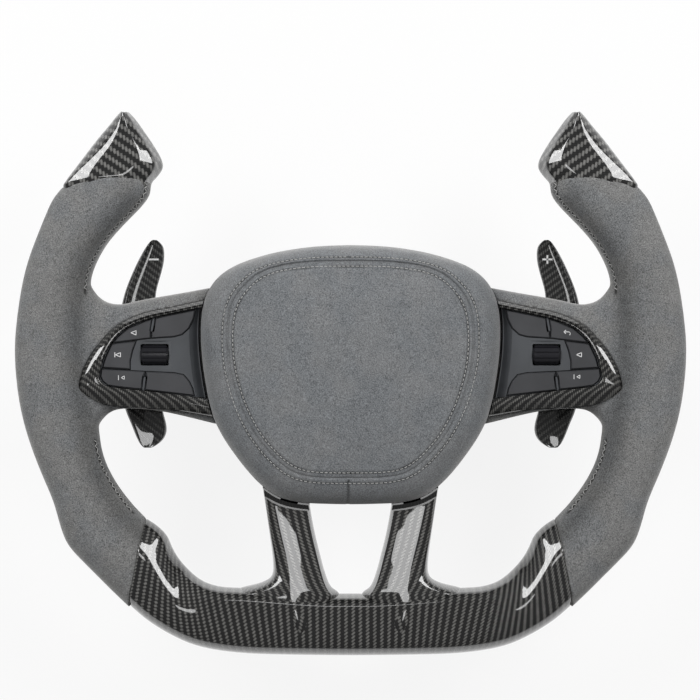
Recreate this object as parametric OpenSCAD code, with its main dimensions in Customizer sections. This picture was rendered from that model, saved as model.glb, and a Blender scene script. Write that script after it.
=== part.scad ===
// Sports steering wheel with an open top: two wrapped hand grips, moulded carbon trim,
// switch pods, shift paddles, and a floating airbag module that works the horn.
// X points right, Y forward along the steering column, Z up. The driver sits at -Y.
// The origin is the centre of the column bore at the hub's rear face. Millimetres.

/* [Rim] */
// Where the middle of the rim's thickness lies along the column
rim_y = -60; // [-62:0.5:-58]
// Half the rim's thickness, front to back
rim_half = 15; // [14:0.5:16]
// Depth of the thumb valley along the front of each grip
valley = 2.6; // [0:0.2:3.4]
// Points round each grip section
ring_n = 18; // [12:2:28]

/* [Spokes] */
// Front of the wrapped spoke arms
arm_front = -68; // [-69:0.5:-67]
// Back of the wrapped spoke arms
arm_back = -46; // [-47:0.5:-45.5]
// Floor of the pocket that the switch pod sits in
pod_floor = -59; // [-59.5:0.25:-58.5]

/* [Airbag cover] */
// Crown of the cover, nearest the driver
cover_top = -92; // [-96:0.5:-90]
// Height of the seam that runs round the cover's panel
seam_y = -86; // [-87:0.5:-85]
// Free edge of the cover's skirt
skirt_y = -60.5; // [-61.5:0.25:-60]
// Gap round the cover that lets it travel
cover_gap = 1.6; // [1.2:0.1:2.4]
// Travel of the airbag module when the horn is pressed
horn_travel = 2.5; // [1:0.1:2.6]

/* [Switch pods] */
// Front of the switch housing
fascia_y = -69.5; // [-70:0.1:-69]
// How far the buttons stand out of the housing
button_proud = 0.6; // [0.2:0.1:1]
// Width of the bevel round a button's face
button_bevel = 0.5; // [0.3:0.1:0.7]
// Gap between a button and what is round it
button_gap = 0.45; // [0.35:0.05:0.5]
// Radius of the thumb roller
roller_r = 5.5; // [5.2:0.1:5.8]
// Length of the thumb roller
roller_len = 14.6; // [13:0.2:15]

/* [Paddles] */
// Distance of each paddle's pivot from the middle
pivot_x = 58; // [57:0.5:59]
// Where the paddle pivots lie along the column
pivot_y = -34; // [-34.5:0.25:-33.5]
// Thickness of a paddle blade away from its lip
blade_t = 3.4; // [2.8:0.2:3.6]

/* [Hub] */
// Radius of the steering column bore
bore_r = 8.5; // [8:0.1:9]
// Length of the plain bore
bore_len = 24; // [20:1:26]
// Outer radius of the steel hub where it is cast in
hub_r = 13; // [12.5:0.25:14]

/* [Hidden] */
$fn = 48;

suede = [0.46, 0.47, 0.48];
carbon = [0.09, 0.09, 0.10];
switch_plastic = [0.24, 0.24, 0.27];
black_plastic = [0.12, 0.12, 0.13];
casting = [0.66, 0.67, 0.69];
steel = [0.58, 0.59, 0.61];

// Outer and inner edge of the left grip, seen from the front, from its top seam down
grip_outer = [
    [-159, 90], [-164, 84], [-168, 75], [-173, 62.5], [-177.5, 50], [-180.5, 38], [-182.5, 26],
    [-184, 14], [-184.8, 2], [-184.2, -12], [-182.5, -26], [-179.5, -40], [-175, -54],
    [-169.5, -68], [-163.5, -82], [-160.2, -94], [-156, -105.5], [-148, -114.5],
    [-139, -123.5], [-130, -132.5], [-121.5, -140.5]
];
grip_inner = [
    [-110, 93], [-110, 87], [-115, 80], [-124, 71], [-133, 61], [-139, 51], [-142.5, 42],
    [-143.5, 33], [-144, 15], [-143.5, -8], [-140.5, -28], [-138.5, -42], [-137, -54],
    [-133, -65], [-127, -75], [-121.5, -82], [-118.5, -85.5], [-116, -88],
    [-114.5, -89.7], [-113.3, -90.8], [-112.5, -91.5]
];
// Outer and inner edge of the lower rim, from the left grip's seam to the middle
rim_outer = [
    [-121.5, -140.5], [-114, -147], [-106, -152.5], [-98, -157], [-90, -160.7], [-82, -163.2],
    [-74, -164.8], [-65, -166], [-55, -166.8], [-45, -167.2], [-30, -167.5], [-14, -167.7], [0, -167.8]
];
rim_inner = [
    [-112.5, -91.5], [-106.5, -95.5], [-101.5, -100.7], [-98.8, -107], [-95.5, -113], [-90, -119.5],
    [-82.5, -125.7], [-73, -129], [-62, -129.8], [-50, -130.5], [-32, -132], [-14, -133], [0, -133]
];
// Wrapped spoke arm: distance from the middle, top, bottom, front, back
arm_stations = [
    [-60, 39, -43.5, arm_front, arm_back], [-76, 36, -39.6, arm_front, arm_back],
    [-92, 33, -35.6, arm_front, arm_back], [-105, 30.8, -32.8, arm_front, arm_back],
    [-117, 28.6, -31.5, arm_front, arm_back], [-125, 26.6, -31.5, arm_front, arm_back - 0.4],
    [-130, 26.6, -32.2, arm_front, arm_back - 0.9], [-134, 27.6, -34.4, arm_front - 0.2, arm_back - 1.5],
    [-137.5, 29.4, -38.2, arm_front - 0.5, arm_back - 2.2],
    [-140.5, 32.6, -42.6, arm_front - 0.8, arm_back - 3],
    [-143.5, 37, -46, arm_front - 1, arm_back - 3.6], [-148, 40, -48, arm_front - 1, arm_back - 4.4],
    [-154, 36, -42, arm_front + 0.5, arm_back - 6], [-160, 28, -34, arm_front + 3, arm_back - 8]
];
// Where the lower rim's crest lies across each of those sections, from 0 outside to 1 inside,
// and how far the section is ridged
rim_crest = [
    [0.71, 1], [0.70, 1], [0.62, 1], [0.58, 1], [0.55, 0.9], [0.57, 0.6], [0.64, 0.3], [0.7, 0.1],
    [0.72, 0], [0.72, 0], [0.72, 0], [0.72, 0], [0.72, 0]
];
// Carbon tip cap, from the grip's top seam to its point: outer edge, both edges of the bevelled
// strip, the front face's corner, the edge of its side, and its inner edge
tip_outer = [
    [-159, 90.5], [-156, 95.4], [-152, 101.2], [-147.5, 107.4], [-143, 113.4], [-138, 119.6],
    [-133, 125.2], [-129.2, 129.8], [-126, 132.6]
];
tip_strip_outer = [
    [-156.4, 90.6], [-151.6, 96.3], [-146.2, 102.2], [-141, 107.8], [-136, 112.8], [-131.8, 118],
    [-128.4, 122.8], [-126.6, 127.6], [-125.2, 130.9]
];
tip_strip_inner = [
    [-144.8, 91], [-143.2, 96.8], [-139.8, 103.2], [-136, 108.8], [-132.4, 113.2], [-129.4, 118.6],
    [-127.2, 123.4], [-125.8, 127.9], [-124.9, 131]
];
tip_corner = [
    [-122.5, 92.6], [-118.4, 97.4], [-115.9, 102.8], [-115.8, 107.8], [-117.2, 113], [-119.6, 118],
    [-121.9, 122.8], [-123.2, 127.8], [-123.9, 131]
];
tip_side = [
    [-112.4, 93.2], [-108.8, 97.6], [-107.2, 102.6], [-108.6, 107.9], [-112.1, 113.9], [-115.4, 119],
    [-118.6, 124.2], [-121.1, 128.6], [-122.9, 131.6]
];
tip_inner = [
    [-110, 93.4], [-106, 97.6], [-103.2, 102.4], [-104.8, 108], [-109, 115], [-112.6, 120.2],
    [-116.4, 125.6], [-119.6, 129.6], [-122.2, 132.2]
];
// Slope of the bevelled strip
strip_rise = 0.24;
// Lower spoke: height, then from outside to inside its outer edge, side corner, first ridge,
// second ridge, main ridge, inner corner and inner edge, and how far forward the main ridge,
// the first ridge and the side corner stand
spoke_stations = [
    [-64, -50.4, -49.8, -48.6, -46.6, -44.6, -26.4, -25, -67.4, -63.6, -59],
    [-78, -48.2, -47.7, -47.3, -45, -43.2, -24.8, -23, -68.2, -64.4, -60],
    [-86, -46.9, -46.5, -46.2, -44.2, -41.9, -23.6, -21.8, -68.9, -65.2, -60.8],
    [-94, -45.8, -45.3, -44.9, -42.8, -40.6, -22.2, -20.4, -69.5, -66, -61.6],
    [-103, -44.5, -43.9, -43.3, -41, -38.8, -20.3, -18.5, -70.3, -66.9, -62.6],
    [-112, -43.3, -42.5, -41.5, -38.8, -36.3, -18, -16.2, -71.2, -68.2, -64],
    [-118, -43, -41.8, -40.5, -37.3, -35, -16.5, -14.7, -72, -69.4, -65.6],
    [-121.5, -43.3, -41.6, -40.1, -36.6, -34.3, -15.5, -13.6, -72.5, -70.4, -67.2],
    [-124.5, -44.8, -42.8, -40.1, -36, -33.6, -14.6, -12.6, -72.9, -71.4, -69],
    [-127, -49.2, -45.7, -40.4, -35.5, -33, -13.7, -11.6, -73.3, -72.2, -70.6],
    [-128.8, -54.8, -49.3, -41, -35.1, -32.6, -12.8, -10.6, -73.6, -72.7, -71.2],
    [-130.6, -62.5, -54.6, -41.8, -34.8, -32.3, -11.8, -9, -73.8, -73.1, -71.4],
    [-132.6, -65, -62, -43.4, -34.4, -32, -10.4, -6, -74.1, -73.5, -71],
    [-136, -60, -58, -45, -33.7, -31.4, -13.2, -5, -74.6, -73.8, -70],
    [-143, -50, -48, -41, -31.9, -29.8, -17, -8, -75.5, -73.4, -70],
    [-149, -42, -40, -36.5, -30, -28, -18.6, -12, -76, -73, -70],
    [-156, -36, -34, -32, -28.4, -26, -20.4, -17, -74.2, -72, -70]
];
// Front outline of the airbag cover and the seam round its panel, top to bottom, right half
cover_edge = [
    [0, 58.5], [20, 57.6], [38, 55], [52, 51.4], [63, 47.2], [71, 42], [76.5, 35.5], [80, 27.5],
    [81.7, 16], [81.4, 0], [79.2, -17], [75.8, -33], [70.5, -45], [62.5, -57], [54, -67.5],
    [46.5, -74.5], [37.5, -79.8], [26, -82.3], [12, -83], [0, -83.2]
];
cover_seam = [
    [0, 48.8], [18, 48.6], [32, 47.3], [42, 45.2], [50.5, 41.4], [57, 35.8], [62, 29], [65, 21],
    [66.2, 9.5], [65.6, -4], [63, -17], [58.5, -30.5], [52.5, -42.5], [46, -51.5], [38.5, -59.3],
    [31.5, -64.2], [24.5, -66.6], [16, -67.6], [8, -67.8], [0, -67.8]
];
// Switch pod trim, from its top inner end round to its bottom inner end:
// outer edge, crest line, and the edge of its opening
pod_outer = [
    [-70, 30.5], [-80.3, 28.2], [-96, 24.8], [-109, 22.3], [-118.5, 19.2], [-127, 15], [-134, 8.3],
    [-140.7, 0], [-145.7, -9], [-148.2, -17.5], [-146.5, -21.8], [-139.5, -26.4], [-130.5, -29.2],
    [-119, -30.2], [-98, -31.4], [-75.3, -35.2], [-70, -36.2]
];
pod_crest = [
    [-70, 28.8], [-80.5, 26.6], [-96.2, 23.2], [-109.2, 20.6], [-118.2, 17.6], [-126.3, 13.6],
    [-132.9, 7.2], [-139.3, -0.8], [-144.1, -9.5], [-146.6, -17.3], [-145, -20.6], [-138.5, -22.8],
    [-129.5, -24.4], [-118, -25.5], [-97.5, -28.3], [-76.3, -32.7], [-70, -33.8]
];
pod_opening = [
    [-70, 26.6], [-82, 24.2], [-99.5, 20.7], [-111.5, 17.7], [-121.5, 13.6], [-127.5, 8.8],
    [-131.8, 3], [-134.8, -3.5], [-136.6, -9.8], [-137.2, -13.5], [-135.8, -16.6], [-132.5, -18.7],
    [-126, -19.7], [-116, -20.8], [-97, -23], [-79.3, -25.3], [-70, -26.4]
];
// Left pod's button faces
button_faces = [
    [[-129.6, 5.2], [-127, 8.2], [-121.6, 12.8], [-112, 16.9], [-108.5, 17.9], [-109.5, 11.6],
        [-109.3, 10.9], [-109.2, 7.6]],
    [[-106.4, 18.4], [-100, 19.9], [-85, 22.9], [-85.9, 18], [-88.3, 13], [-92, 9.6], [-96.3, 8.4],
        [-108.6, 7.6], [-108.4, 10.9], [-107.5, 11.6]],
    [[-135.2, -8.4], [-133.9, -3.6], [-130.3, 4.3], [-117.2, 5.8], [-119, 1], [-120.4, -5], [-120.4, -9.3]],
    [[-135.9, -9.3], [-136.3, -13.4], [-135, -16], [-132.3, -18.1], [-126, -19.1], [-114.1, -20.3],
        [-113.3, -13.8], [-112.6, -13.1], [-112.3, -10.7]],
    [[-111.7, -10.7], [-96.3, -11.4], [-91.2, -12.5], [-88.2, -15.9], [-86.3, -19.8], [-85.4, -23.7],
        [-97, -22.3], [-112.1, -20.6], [-111.3, -13.8], [-111.9, -13.1]]
];
// Ends of the two raised ribs between the buttons
rib_ends = [[[-107.5, 17.6], [-108.5, 11.9]], [[-113.1, -19.8], [-112.3, -14.1]]];
rib_w = 1.1;
rib_proud = 0.5;
// Middle of each button's stem
button_stems = [[-117, 10.5], [-96.5, 14.5], [-127.5, -2.5], [-124, -14.5], [-98.5, -17]];
button_face_t = 3.3;
stem_r = 2;
stem_gap = 0.3;
pod_edge_y = -71.5;
pod_crest_y = -72.4;
spoke_side_y = -57;
guide_front = -65.5;
guide_back = -63.5;
stem_end = -63;
board_front = -60.6;
switch_top = -61.8;
roller_x = -107;
roller_z = -1.5;
roller_y = -66;
axle_r = 1;

// Left paddle blade: height, outer edge, inner edge
blade_stations = [
    [63, -110.5, -108.4], [62, -113.5, -106.6], [59.5, -116.6, -104.9], [56, -119.2, -104.5],
    [50, -121.9, -105.1], [42, -124.7, -107], [33, -127.4, -109], [22, -129.6, -109],
    [8, -130.6, -108], [-8, -130.4, -107], [-20, -129.4, -106.4], [-32, -127, -105.2],
    [-40, -123.8, -103.4], [-46, -120.9, -104.2], [-50.5, -118.4, -107], [-53.5, -116, -110],
    [-54.6, -114.4, -112]
];
pin_r = 2;
pin_clear = 0.05;
ear_z = 10.2;
ear_t = 3.2;

plate_front = -52;
plate_back = -40;
core_front = -64;
core_back = -55.5;
bar_front = -57;
bar_back = -49;
core_w = 10;
boss_places = [[-24, 26], [24, 26], [-32, -30], [32, -30]];
pin_places = [[-40, 27], [40, 27], [-18, -39], [18, -39]];
bracket_screw_places = [[-42, 6], [-42, -6], [42, 6], [42, -6]];
back_wall = -12;
back_wall_t = 2.5;
can_back = -61.5;
can_front = -63;

function reversed(list) = [for (i = [len(list) - 1 : -1 : 0]) list[i]];
function blend(a, b, t) = a + (b - a) * t;
function power(v, e) = sign(v) * pow(abs(v), e);
function column(table, c) = [for (row = table) row[c]];

// Point at t between b and c on a smooth curve through a, b, c and d
function curve_point(a, b, c, d, t) =
    0.5 * (2 * b + (c - a) * t + (2 * a - 5 * b + 4 * c - d) * t * t
    + (3 * b - a - 3 * c + d) * t * t * t);

// Smooth open curve through the points, with a number of steps between neighbours
function smooth(points, steps) = let (n = len(points)) [
    for (i = [0 : n - 2], s = [0 : steps - 1])
        curve_point(points[max(i - 1, 0)], points[i], points[i + 1], points[min(i + 2, n - 1)], s / steps),
    points[n - 1]
];

// Closed outline from its right half, which runs from the top to the bottom
function both_halves(half, steps) = let (right = smooth(half, steps), n = len(right))
    concat(right, [for (i = [n - 2 : -1 : 1]) [-right[i][0], right[i][1]]]);

// Points moved sideways off a path by a distance
function beside(path, d) = let (n = len(path)) [
    for (i = [0 : n - 1]) let (run = path[min(i + 1, n - 1)] - path[max(i - 1, 0)])
        path[i] + [-run[1], run[0]] / norm(run) * d
];

// Closed outline moved inwards by a distance
function shrunk(outline, d) = let (n = len(outline)) [
    for (i = [0 : n - 1]) let (run = outline[(i + 1) % n] - outline[(i + n - 1) % n])
        outline[i] + [run[1], -run[0]] / norm(run) * d
];

// Closed outline with each of its sides moved inwards by a distance
function inset(outline, d) = let (
    n = len(outline),
    way = sign(sum([for (i = [0 : n - 1]) cross(outline[i], outline[(i + 1) % n])])),
    sides = [for (i = [0 : n - 1]) let (run = outline[(i + 1) % n] - outline[i])
        [-run[1], run[0]] / norm(run) * way])
    [for (i = [0 : n - 1]) let (a = sides[(i + n - 1) % n], b = sides[i])
        outline[i] + (a + b) * d / (1 + a * b)];

// Front-view outline stood up at one place along the column
function at_y(outline, y) = [for (p = outline) [p[0], y, p[1]]];

// Solid between y_front and y_back with the front-view shape of its children
module slab(y_front, y_back) {
    translate([0, y_back, 0])
        rotate([90, 0, 0])
            linear_extrude(y_back - y_front)
                children();
}

// Round rod along the column
module rod(place, r, y_front, y_back) {
    translate([place[0], y_back, place[1]])
        rotate([90, 0, 0])
            cylinder(r = r, h = y_back - y_front);
}

function middle(ring) = [for (axis = [0 : 2]) sum(column(ring, axis))] / len(ring);
function sum(list, i = 0) = i == len(list) ? 0 : list[i] + sum(list, i + 1);

// Whether the first ring turns the wrong way for the skin to face outwards
function turned(rings) = let (
    r = rings[0],
    n = len(r),
    turns = [for (i = [0 : n - 1]) cross(r[i] - r[0], r[(i + 1) % n] - r[0])])
    [for (axis = [0 : 2]) sum(column(turns, axis))] * (middle(rings[1]) - middle(r)) > 0;

// Closed skin over rings of equal count, capped at both ends
module loft(given_rings) {
    rings = turned(given_rings) ? [for (r = given_rings) reversed(r)] : given_rings;
    n = len(rings[0]);
    m = len(rings);
    sides = [
        for (k = [0 : m - 2], i = [0 : n - 1])
            let (a = k * n + i, b = k * n + (i + 1) % n)
                each [[a, b, a + n], [b, b + n, a + n]]
    ];
    first_cap = [for (i = [n - 1 : -1 : 0]) i];
    last_cap = [for (i = [0 : n - 1]) (m - 1) * n + i];
    polyhedron(points = [for (r = rings) each r], faces = concat([first_cap], sides, [last_cap]));
}

// Rounded section from an outer to an inner edge point, with a valley in its front
function grip_ring(outer, inner, half, square, dip) = let (
    mid = (outer + inner) / 2,
    reach = (inner - outer) / 2)
    [for (i = [0 : ring_n - 1]) let (
        u = power(cos(360 * i / ring_n), square),
        v = power(sin(360 * i / ring_n), square),
        p = mid + reach * u,
        hollow = v > 0 ? dip * v * exp(-pow((u - 0.35) / 0.34, 2)) : 0)
        [p[0], rim_y - v * half + hollow, p[1]]];

cover_outline = both_halves(cover_edge, 2);
inner_outline = both_halves(cover_edge, 1);
inner_seam = both_halves(cover_seam, 1);
seam_outline = both_halves(cover_seam, 2);
core_path = let (
    left = concat([[-130, 106]], (grip_outer + grip_inner) / 2,
        [for (i = [1 : len(rim_outer) - 1]) (rim_outer[i] + rim_inner[i]) / 2]))
    concat(left, [for (i = [len(left) - 2 : -1 : 0]) [-left[i][0], left[i][1]]]);

// Cast core along the middle of the rim, from tip to tip
module rim_core() {
    slab(core_front, core_back)
        polygon(concat(beside(core_path, core_w / 2), reversed(beside(core_path, -core_w / 2))));
}

// Cast bars inside the four spokes
module spoke_bars() {
    slab(bar_front, bar_back) {
        polygon([[-34, 15], [-60, 10], [-138, 8], [-138, -10], [-60, -12], [-34, -18]]);
        polygon([[34, 15], [34, -18], [60, -12], [138, -10], [138, 8], [60, 10]]);
        polygon([[-43, -26], [-33, -30], [-24, -152], [-33, -152]]);
        polygon([[43, -26], [33, -152], [24, -152], [33, -30]]);
    }
    slab(pod_floor + 0.6, bar_front + 3)
        for (x = [-146, 146])
            translate([x, -1])
                square([34, 18], center = true);
}

module hub_plate_outline() {
    half = [[0, 44], [24, 42], [42, 36], [50, 26], [51, 10], [50, -20], [42, -34], [28, -46], [0, -48]];
    polygon(concat(half, [for (i = [len(half) - 2 : -1 : 1]) [-half[i][0], half[i][1]]]));
}

module armature() {
    color(casting)
        difference() {
            union() {
                rim_core();
                spoke_bars();
                slab(plate_front, plate_back)
                    hub_plate_outline();
                rod([0, 0], 21, plate_front, -26);
                for (p = boss_places)
                    rod(p, 5, plate_back - 1, back_wall - back_wall_t);
            }
            rod([0, 0], hub_r, -60, 0);
            for (p = pin_places)
                rod(p, 3.3, -60, 0);
            for (p = boss_places)
                rod(p, 2, -30, 0);
            for (p = bracket_screw_places)
                rod(p, 1.5, -46, 0);
        }
}

// Steel hub with a plain bore behind and a splined bore in front of it
module hub_boss() {
    teeth = 36;
    spline = [
        for (i = [0 : 2 * teeth - 1]) let (r = i % 2 == 0 ? bore_r - 0.1 : bore_r - 0.9)
            [r * cos(180 * i / teeth), r * sin(180 * i / teeth)]
    ];
    color(steel)
        difference() {
            union() {
                rod([0, 0], hub_r, -46, 0);
                rod([0, 0], 18, -26, -18);
                rod([0, 0], 15, -18, -12);
            }
            rod([0, 0], bore_r, -bore_len, 1);
            slab(-bore_len - 14, -bore_len + 1)
                polygon(spline);
            rod([0, 0], 7, -47, -bore_len);
        }
}

module grip_loft() {
    outer = smooth(grip_outer, 2);
    inner = smooth(grip_inner, 2);
    n = len(outer) - 1;
    loft([
        for (k = [0 : n]) let (s = k / n)
            grip_ring(outer[k], inner[k], rim_half - 3.4 * pow(max(0, 1 - s / 0.22), 2), 0.82,
                valley * pow(sin(180 * min(1, s * 1.04)), 2))
    ]);
}

module arm_loft() {
    n = 20;
    loft([
        for (st = arm_stations) [
            for (i = [0 : n - 1]) let (
                u = power(cos(360 * i / n), 0.5),
                v = power(sin(360 * i / n), 0.6))
                [st[0], blend(st[3], st[4], (1 - v) / 2), blend(st[2], st[1], (1 + u) / 2)]
        ]
    ]);
}

module pod_pocket() {
    slab(-100, pod_floor)
        offset(delta = 0.15)
            polygon(concat(smooth(pod_outer, 2), [[-50, -36.2], [-50, 30.5]]));
}

module cover_pocket() {
    slab(-100, bar_front)
        offset(delta = cover_gap)
            polygon(cover_outline);
}

// Left hand grip with its wrapped spoke arm
module grip() {
    color(suede)
        difference() {
            union() {
                grip_loft();
                arm_loft();
            }
            pod_pocket();
            cover_pocket();
            rim_core();
            spoke_bars();
        }
}

// Section of the tip cap at one place along it
function tip_ring(k, front_half, back_half) = let (
    outer = tip_outer[k],
    inner = tip_inner[k],
    strip_low = 0.99 - strip_rise * norm(tip_strip_inner[k] - tip_strip_outer[k]) / front_half,
    edges = [
        [outer, -0.1], [blend(outer, tip_strip_outer[k], 0.33), 0.42], [tip_strip_outer[k], strip_low],
        [tip_strip_inner[k], 0.99], [tip_corner[k], 0.93], [tip_side[k], 0.62], [inner, -0.55],
        [blend(outer, inner, 0.94), -0.85], [blend(outer, inner, 0.7), -1],
        [blend(outer, inner, 0.25), -1], [blend(outer, inner, 0.04), -0.7]
    ])
    [for (e = edges) [e[0][0], rim_y - e[1] * (e[1] > 0 ? front_half : back_half), e[0][1]]];

// Faceted carbon cap on the left grip's end
module tip_cap() {
    n = len(tip_outer) - 1;
    tip_half = rim_half - 2.4;
    color(carbon)
        difference() {
            loft([
                for (k = [0 : n])
                    tip_ring(k, blend(tip_half, 6.5, pow(k / n, 2.2)), blend(tip_half, 4, pow(k / n, 1.4)))
            ]);
            rim_core();
        }
}

// Share of a section that one millimetre square to a path takes up, at point k of the path
function share(path, k, section) = let (
    run = path[min(k + 1, len(path) - 1)] - path[max(k - 1, 0)])
    norm(run) / abs(cross(run, section));

// Section of the lower rim: drafted sides, a flat face and, where it is ridged, a crest that
// slopes down to the inner edge
function rim_ring(outer, inner, crest_line, k, crest, ridged) = let (
    across = inner[k] - outer[k],
    a = share(outer, k, across),
    b = share(crest_line, k, across),
    c = share(inner, k, across),
    fall = 0.7 - 0.053 * max(0, (1 - 2.6 * c - crest - 3.2 * b) / b),
    side = [[0, -0.2], [1.8 * a, 0.32], [4.1 * a, 0.66], [6.4 * a, 0.88], [8.6 * a, 0.97]],
    flat = [[0.38, 1], [0.55, 1], [1 - 9 * c, 1], [1 - 4.4 * c, 0.985], [1 - 1.8 * c, 0.76]],
    ridge = [
        [crest - 9 * b, 0.985], [crest - 3 * b, 0.94], [crest + 0.4 * b, 0.835],
        [crest + 3.2 * b, 0.7], [1 - 2.6 * c, fall]
    ],
    back = [[1, -0.2], [0.97, -0.72], [0.8, -0.98], [0.2, -0.98], [0.03, -0.72]])
    [for (q = concat(side, flat + (ridge - flat) * ridged, back)) let (p = outer[k] + across * q[0])
        [p[0], rim_y - q[1] * rim_half, p[1]]];

module rim_loft() {
    outer = smooth(rim_outer, 2);
    inner = smooth(rim_inner, 2);
    crest = smooth(rim_crest, 2);
    n = len(outer) - 1;
    crest_line = [for (k = [0 : n]) blend(outer[k], inner[k], crest[k][0])];
    left = [for (k = [0 : n]) rim_ring(outer, inner, crest_line, k, crest[k][0], crest[k][1])];
    right = [for (k = [n - 1 : -1 : 0]) [for (p = left[k]) [-p[0], p[1], p[2]]]];
    loft(concat(left, right));
}

// Left lower spoke, with ridges that run on into the rim
module lower_spoke_loft() {
    loft([
        for (st = spoke_stations) let (z = st[0], main_y = st[8], first_y = st[9], side_y = st[10]) [
            [st[1], spoke_side_y, z],
            [st[2], side_y, z],
            [st[3], first_y, z],
            [st[4], blend(first_y, main_y, 0.7), z],
            [st[5], main_y, z],
            [blend(st[5], st[6], 0.5), main_y + 0.1, z],
            [st[6], main_y + 1, z],
            [st[7], spoke_side_y, z],
            [st[7] - 3, arm_back - 0.6, z],
            [st[1] + 3, arm_back - 0.6, z]
        ]
    ]);
}

// Ledge that the cover's edge hangs over at the top of the lower spokes, with a bevelled lip
module spoke_ledge() {
    loft([
        at_y(shrunk(cover_outline, -9), -73),
        at_y(shrunk(cover_outline, -5.6), -69.2),
        at_y(shrunk(cover_outline, -4.4), -68.4),
        at_y(shrunk(cover_outline, -4.4), -62.5)
    ]);
}

// Carbon shell of the lower rim and the two lower spokes
module lower_rim_shell() {
    color(carbon)
        difference() {
            union() {
                rim_loft();
                lower_spoke_loft();
                mirror([1, 0, 0])
                    lower_spoke_loft();
            }
            cover_pocket();
            spoke_ledge();
            rim_core();
            spoke_bars();
        }
}

// Carbon trim round the left switch pod
module pod_bezel() {
    outer = smooth(pod_outer, 2);
    crest = smooth(pod_crest, 2);
    opening = smooth(pod_opening, 2);
    color(carbon)
        difference() {
            loft([
                for (k = [0 : len(outer) - 1]) [
                    [outer[k][0], pod_floor, outer[k][1]],
                    [outer[k][0], pod_edge_y, outer[k][1]],
                    [crest[k][0], pod_crest_y, crest[k][1]],
                    [opening[k][0], fascia_y - 1.6, opening[k][1]],
                    [opening[k][0], pod_floor, opening[k][1]]
                ]
            ]);
            cover_pocket();
        }
}

// Outline of what fills the pod's opening, a little smaller by d
module pod_inside(d) {
    difference() {
        offset(delta = -d)
            polygon(concat(smooth(pod_opening, 2), [[-50, -26.4], [-50, 26.6]]));
        offset(delta = cover_gap + d - 0.2)
            polygon(cover_outline);
    }
}

module roller_window() {
    translate([roller_x, roller_z])
        offset(r = 1)
            square([roller_len - 1.2, 2 * roller_r - 1.2], center = true);
}

module axle_rod(r, reach) {
    translate([roller_x - reach / 2, roller_y, roller_z])
        rotate([0, 90, 0])
            cylinder(r = r, h = reach);
}

// Raised ribs between the buttons, with round ends
module button_ribs() {
    for (ends = rib_ends)
        slab(fascia_y - rib_proud, fascia_y + 0.5)
            hull()
                for (p = ends)
                    translate(p)
                        circle(d = rib_w, $fn = 16);
}

// Shallow scoop that leads the thumb to the roller
module roller_scoop() {
    r = 60;
    reach = 9;
    translate([roller_x, fascia_y - r + reach * reach / (2 * r), roller_z - 7.6])
        cylinder(r = r, h = 15.2, $fn = 180);
}

// Slope of the housing's end, down into the gap round the cover
module housing_slope() {
    loft([
        at_y(shrunk(cover_outline, -cover_gap - 5), fascia_y - 0.2),
        at_y(shrunk(cover_outline, -cover_gap - 4.8), fascia_y),
        at_y(shrunk(cover_outline, -cover_gap - 0.6), fascia_y + 3)
    ]);
}

module switch_housing() {
    color(switch_plastic)
        difference() {
            union() {
                slab(fascia_y, pod_floor)
                    pod_inside(0.2);
                button_ribs();
            }
            roller_scoop();
            housing_slope();
            for (face = button_faces)
                slab(fascia_y - 1, guide_front)
                    offset(delta = button_gap)
                        polygon(face);
            slab(guide_back, pod_floor + 1)
                pod_inside(1.6);
            for (p = button_stems)
                rod(p, stem_r + stem_gap, fascia_y, pod_floor);
            slab(fascia_y - 1, pod_floor + 1)
                roller_window();
            axle_rod(axle_r, roller_len + 7);
        }
}

module switch_board() {
    color("darkgreen")
        difference() {
            union() {
                slab(board_front, pod_floor)
                    pod_inside(1.8);
                for (p = button_stems)
                    slab(switch_top, board_front + 0.2)
                        translate(p)
                            square(4.4, center = true);
            }
            slab(-70, -50)
                roller_window();
        }
}

module button(i) {
    front = fascia_y - button_proud;
    face = button_faces[i];
    color(switch_plastic)
        union() {
            loft([
                at_y(inset(face, button_bevel), front),
                at_y(face, front + button_bevel),
                at_y(face, front + button_face_t)
            ]);
            rod(button_stems[i], stem_r, front + button_face_t - 1, stem_end);
        }
}

// Ribbed thumb roller on its own axle
module roller() {
    ribs = 11;
    // Share of each rib's turn, and depth below its top
    corners = [[0, 0], [0.35, 0], [0.72, 0], [0.78, 0.7], [0.94, 0.7]];
    outline = [
        for (i = [0 : ribs - 1], c = corners) let (
            a = 360 * (i + c[0]) / ribs,
            r = roller_r - c[1])
            [r * cos(a), r * sin(a)]
    ];
    color(black_plastic)
        translate([roller_x - roller_len / 2, roller_y, roller_z])
            rotate([0, 90, 0])
                difference() {
                    union() {
                        translate([0, 0, 0.8])
                            linear_extrude(roller_len - 1.6)
                                polygon(outline);
                        cylinder(r = roller_r - 0.8, h = roller_len);
                    }
                    translate([0, 0, -1])
                        cylinder(r = axle_r + pin_clear, h = roller_len + 2);
                }
}

module roller_axle() {
    color(steel)
        axle_rod(axle_r, roller_len + 7);
}

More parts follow.
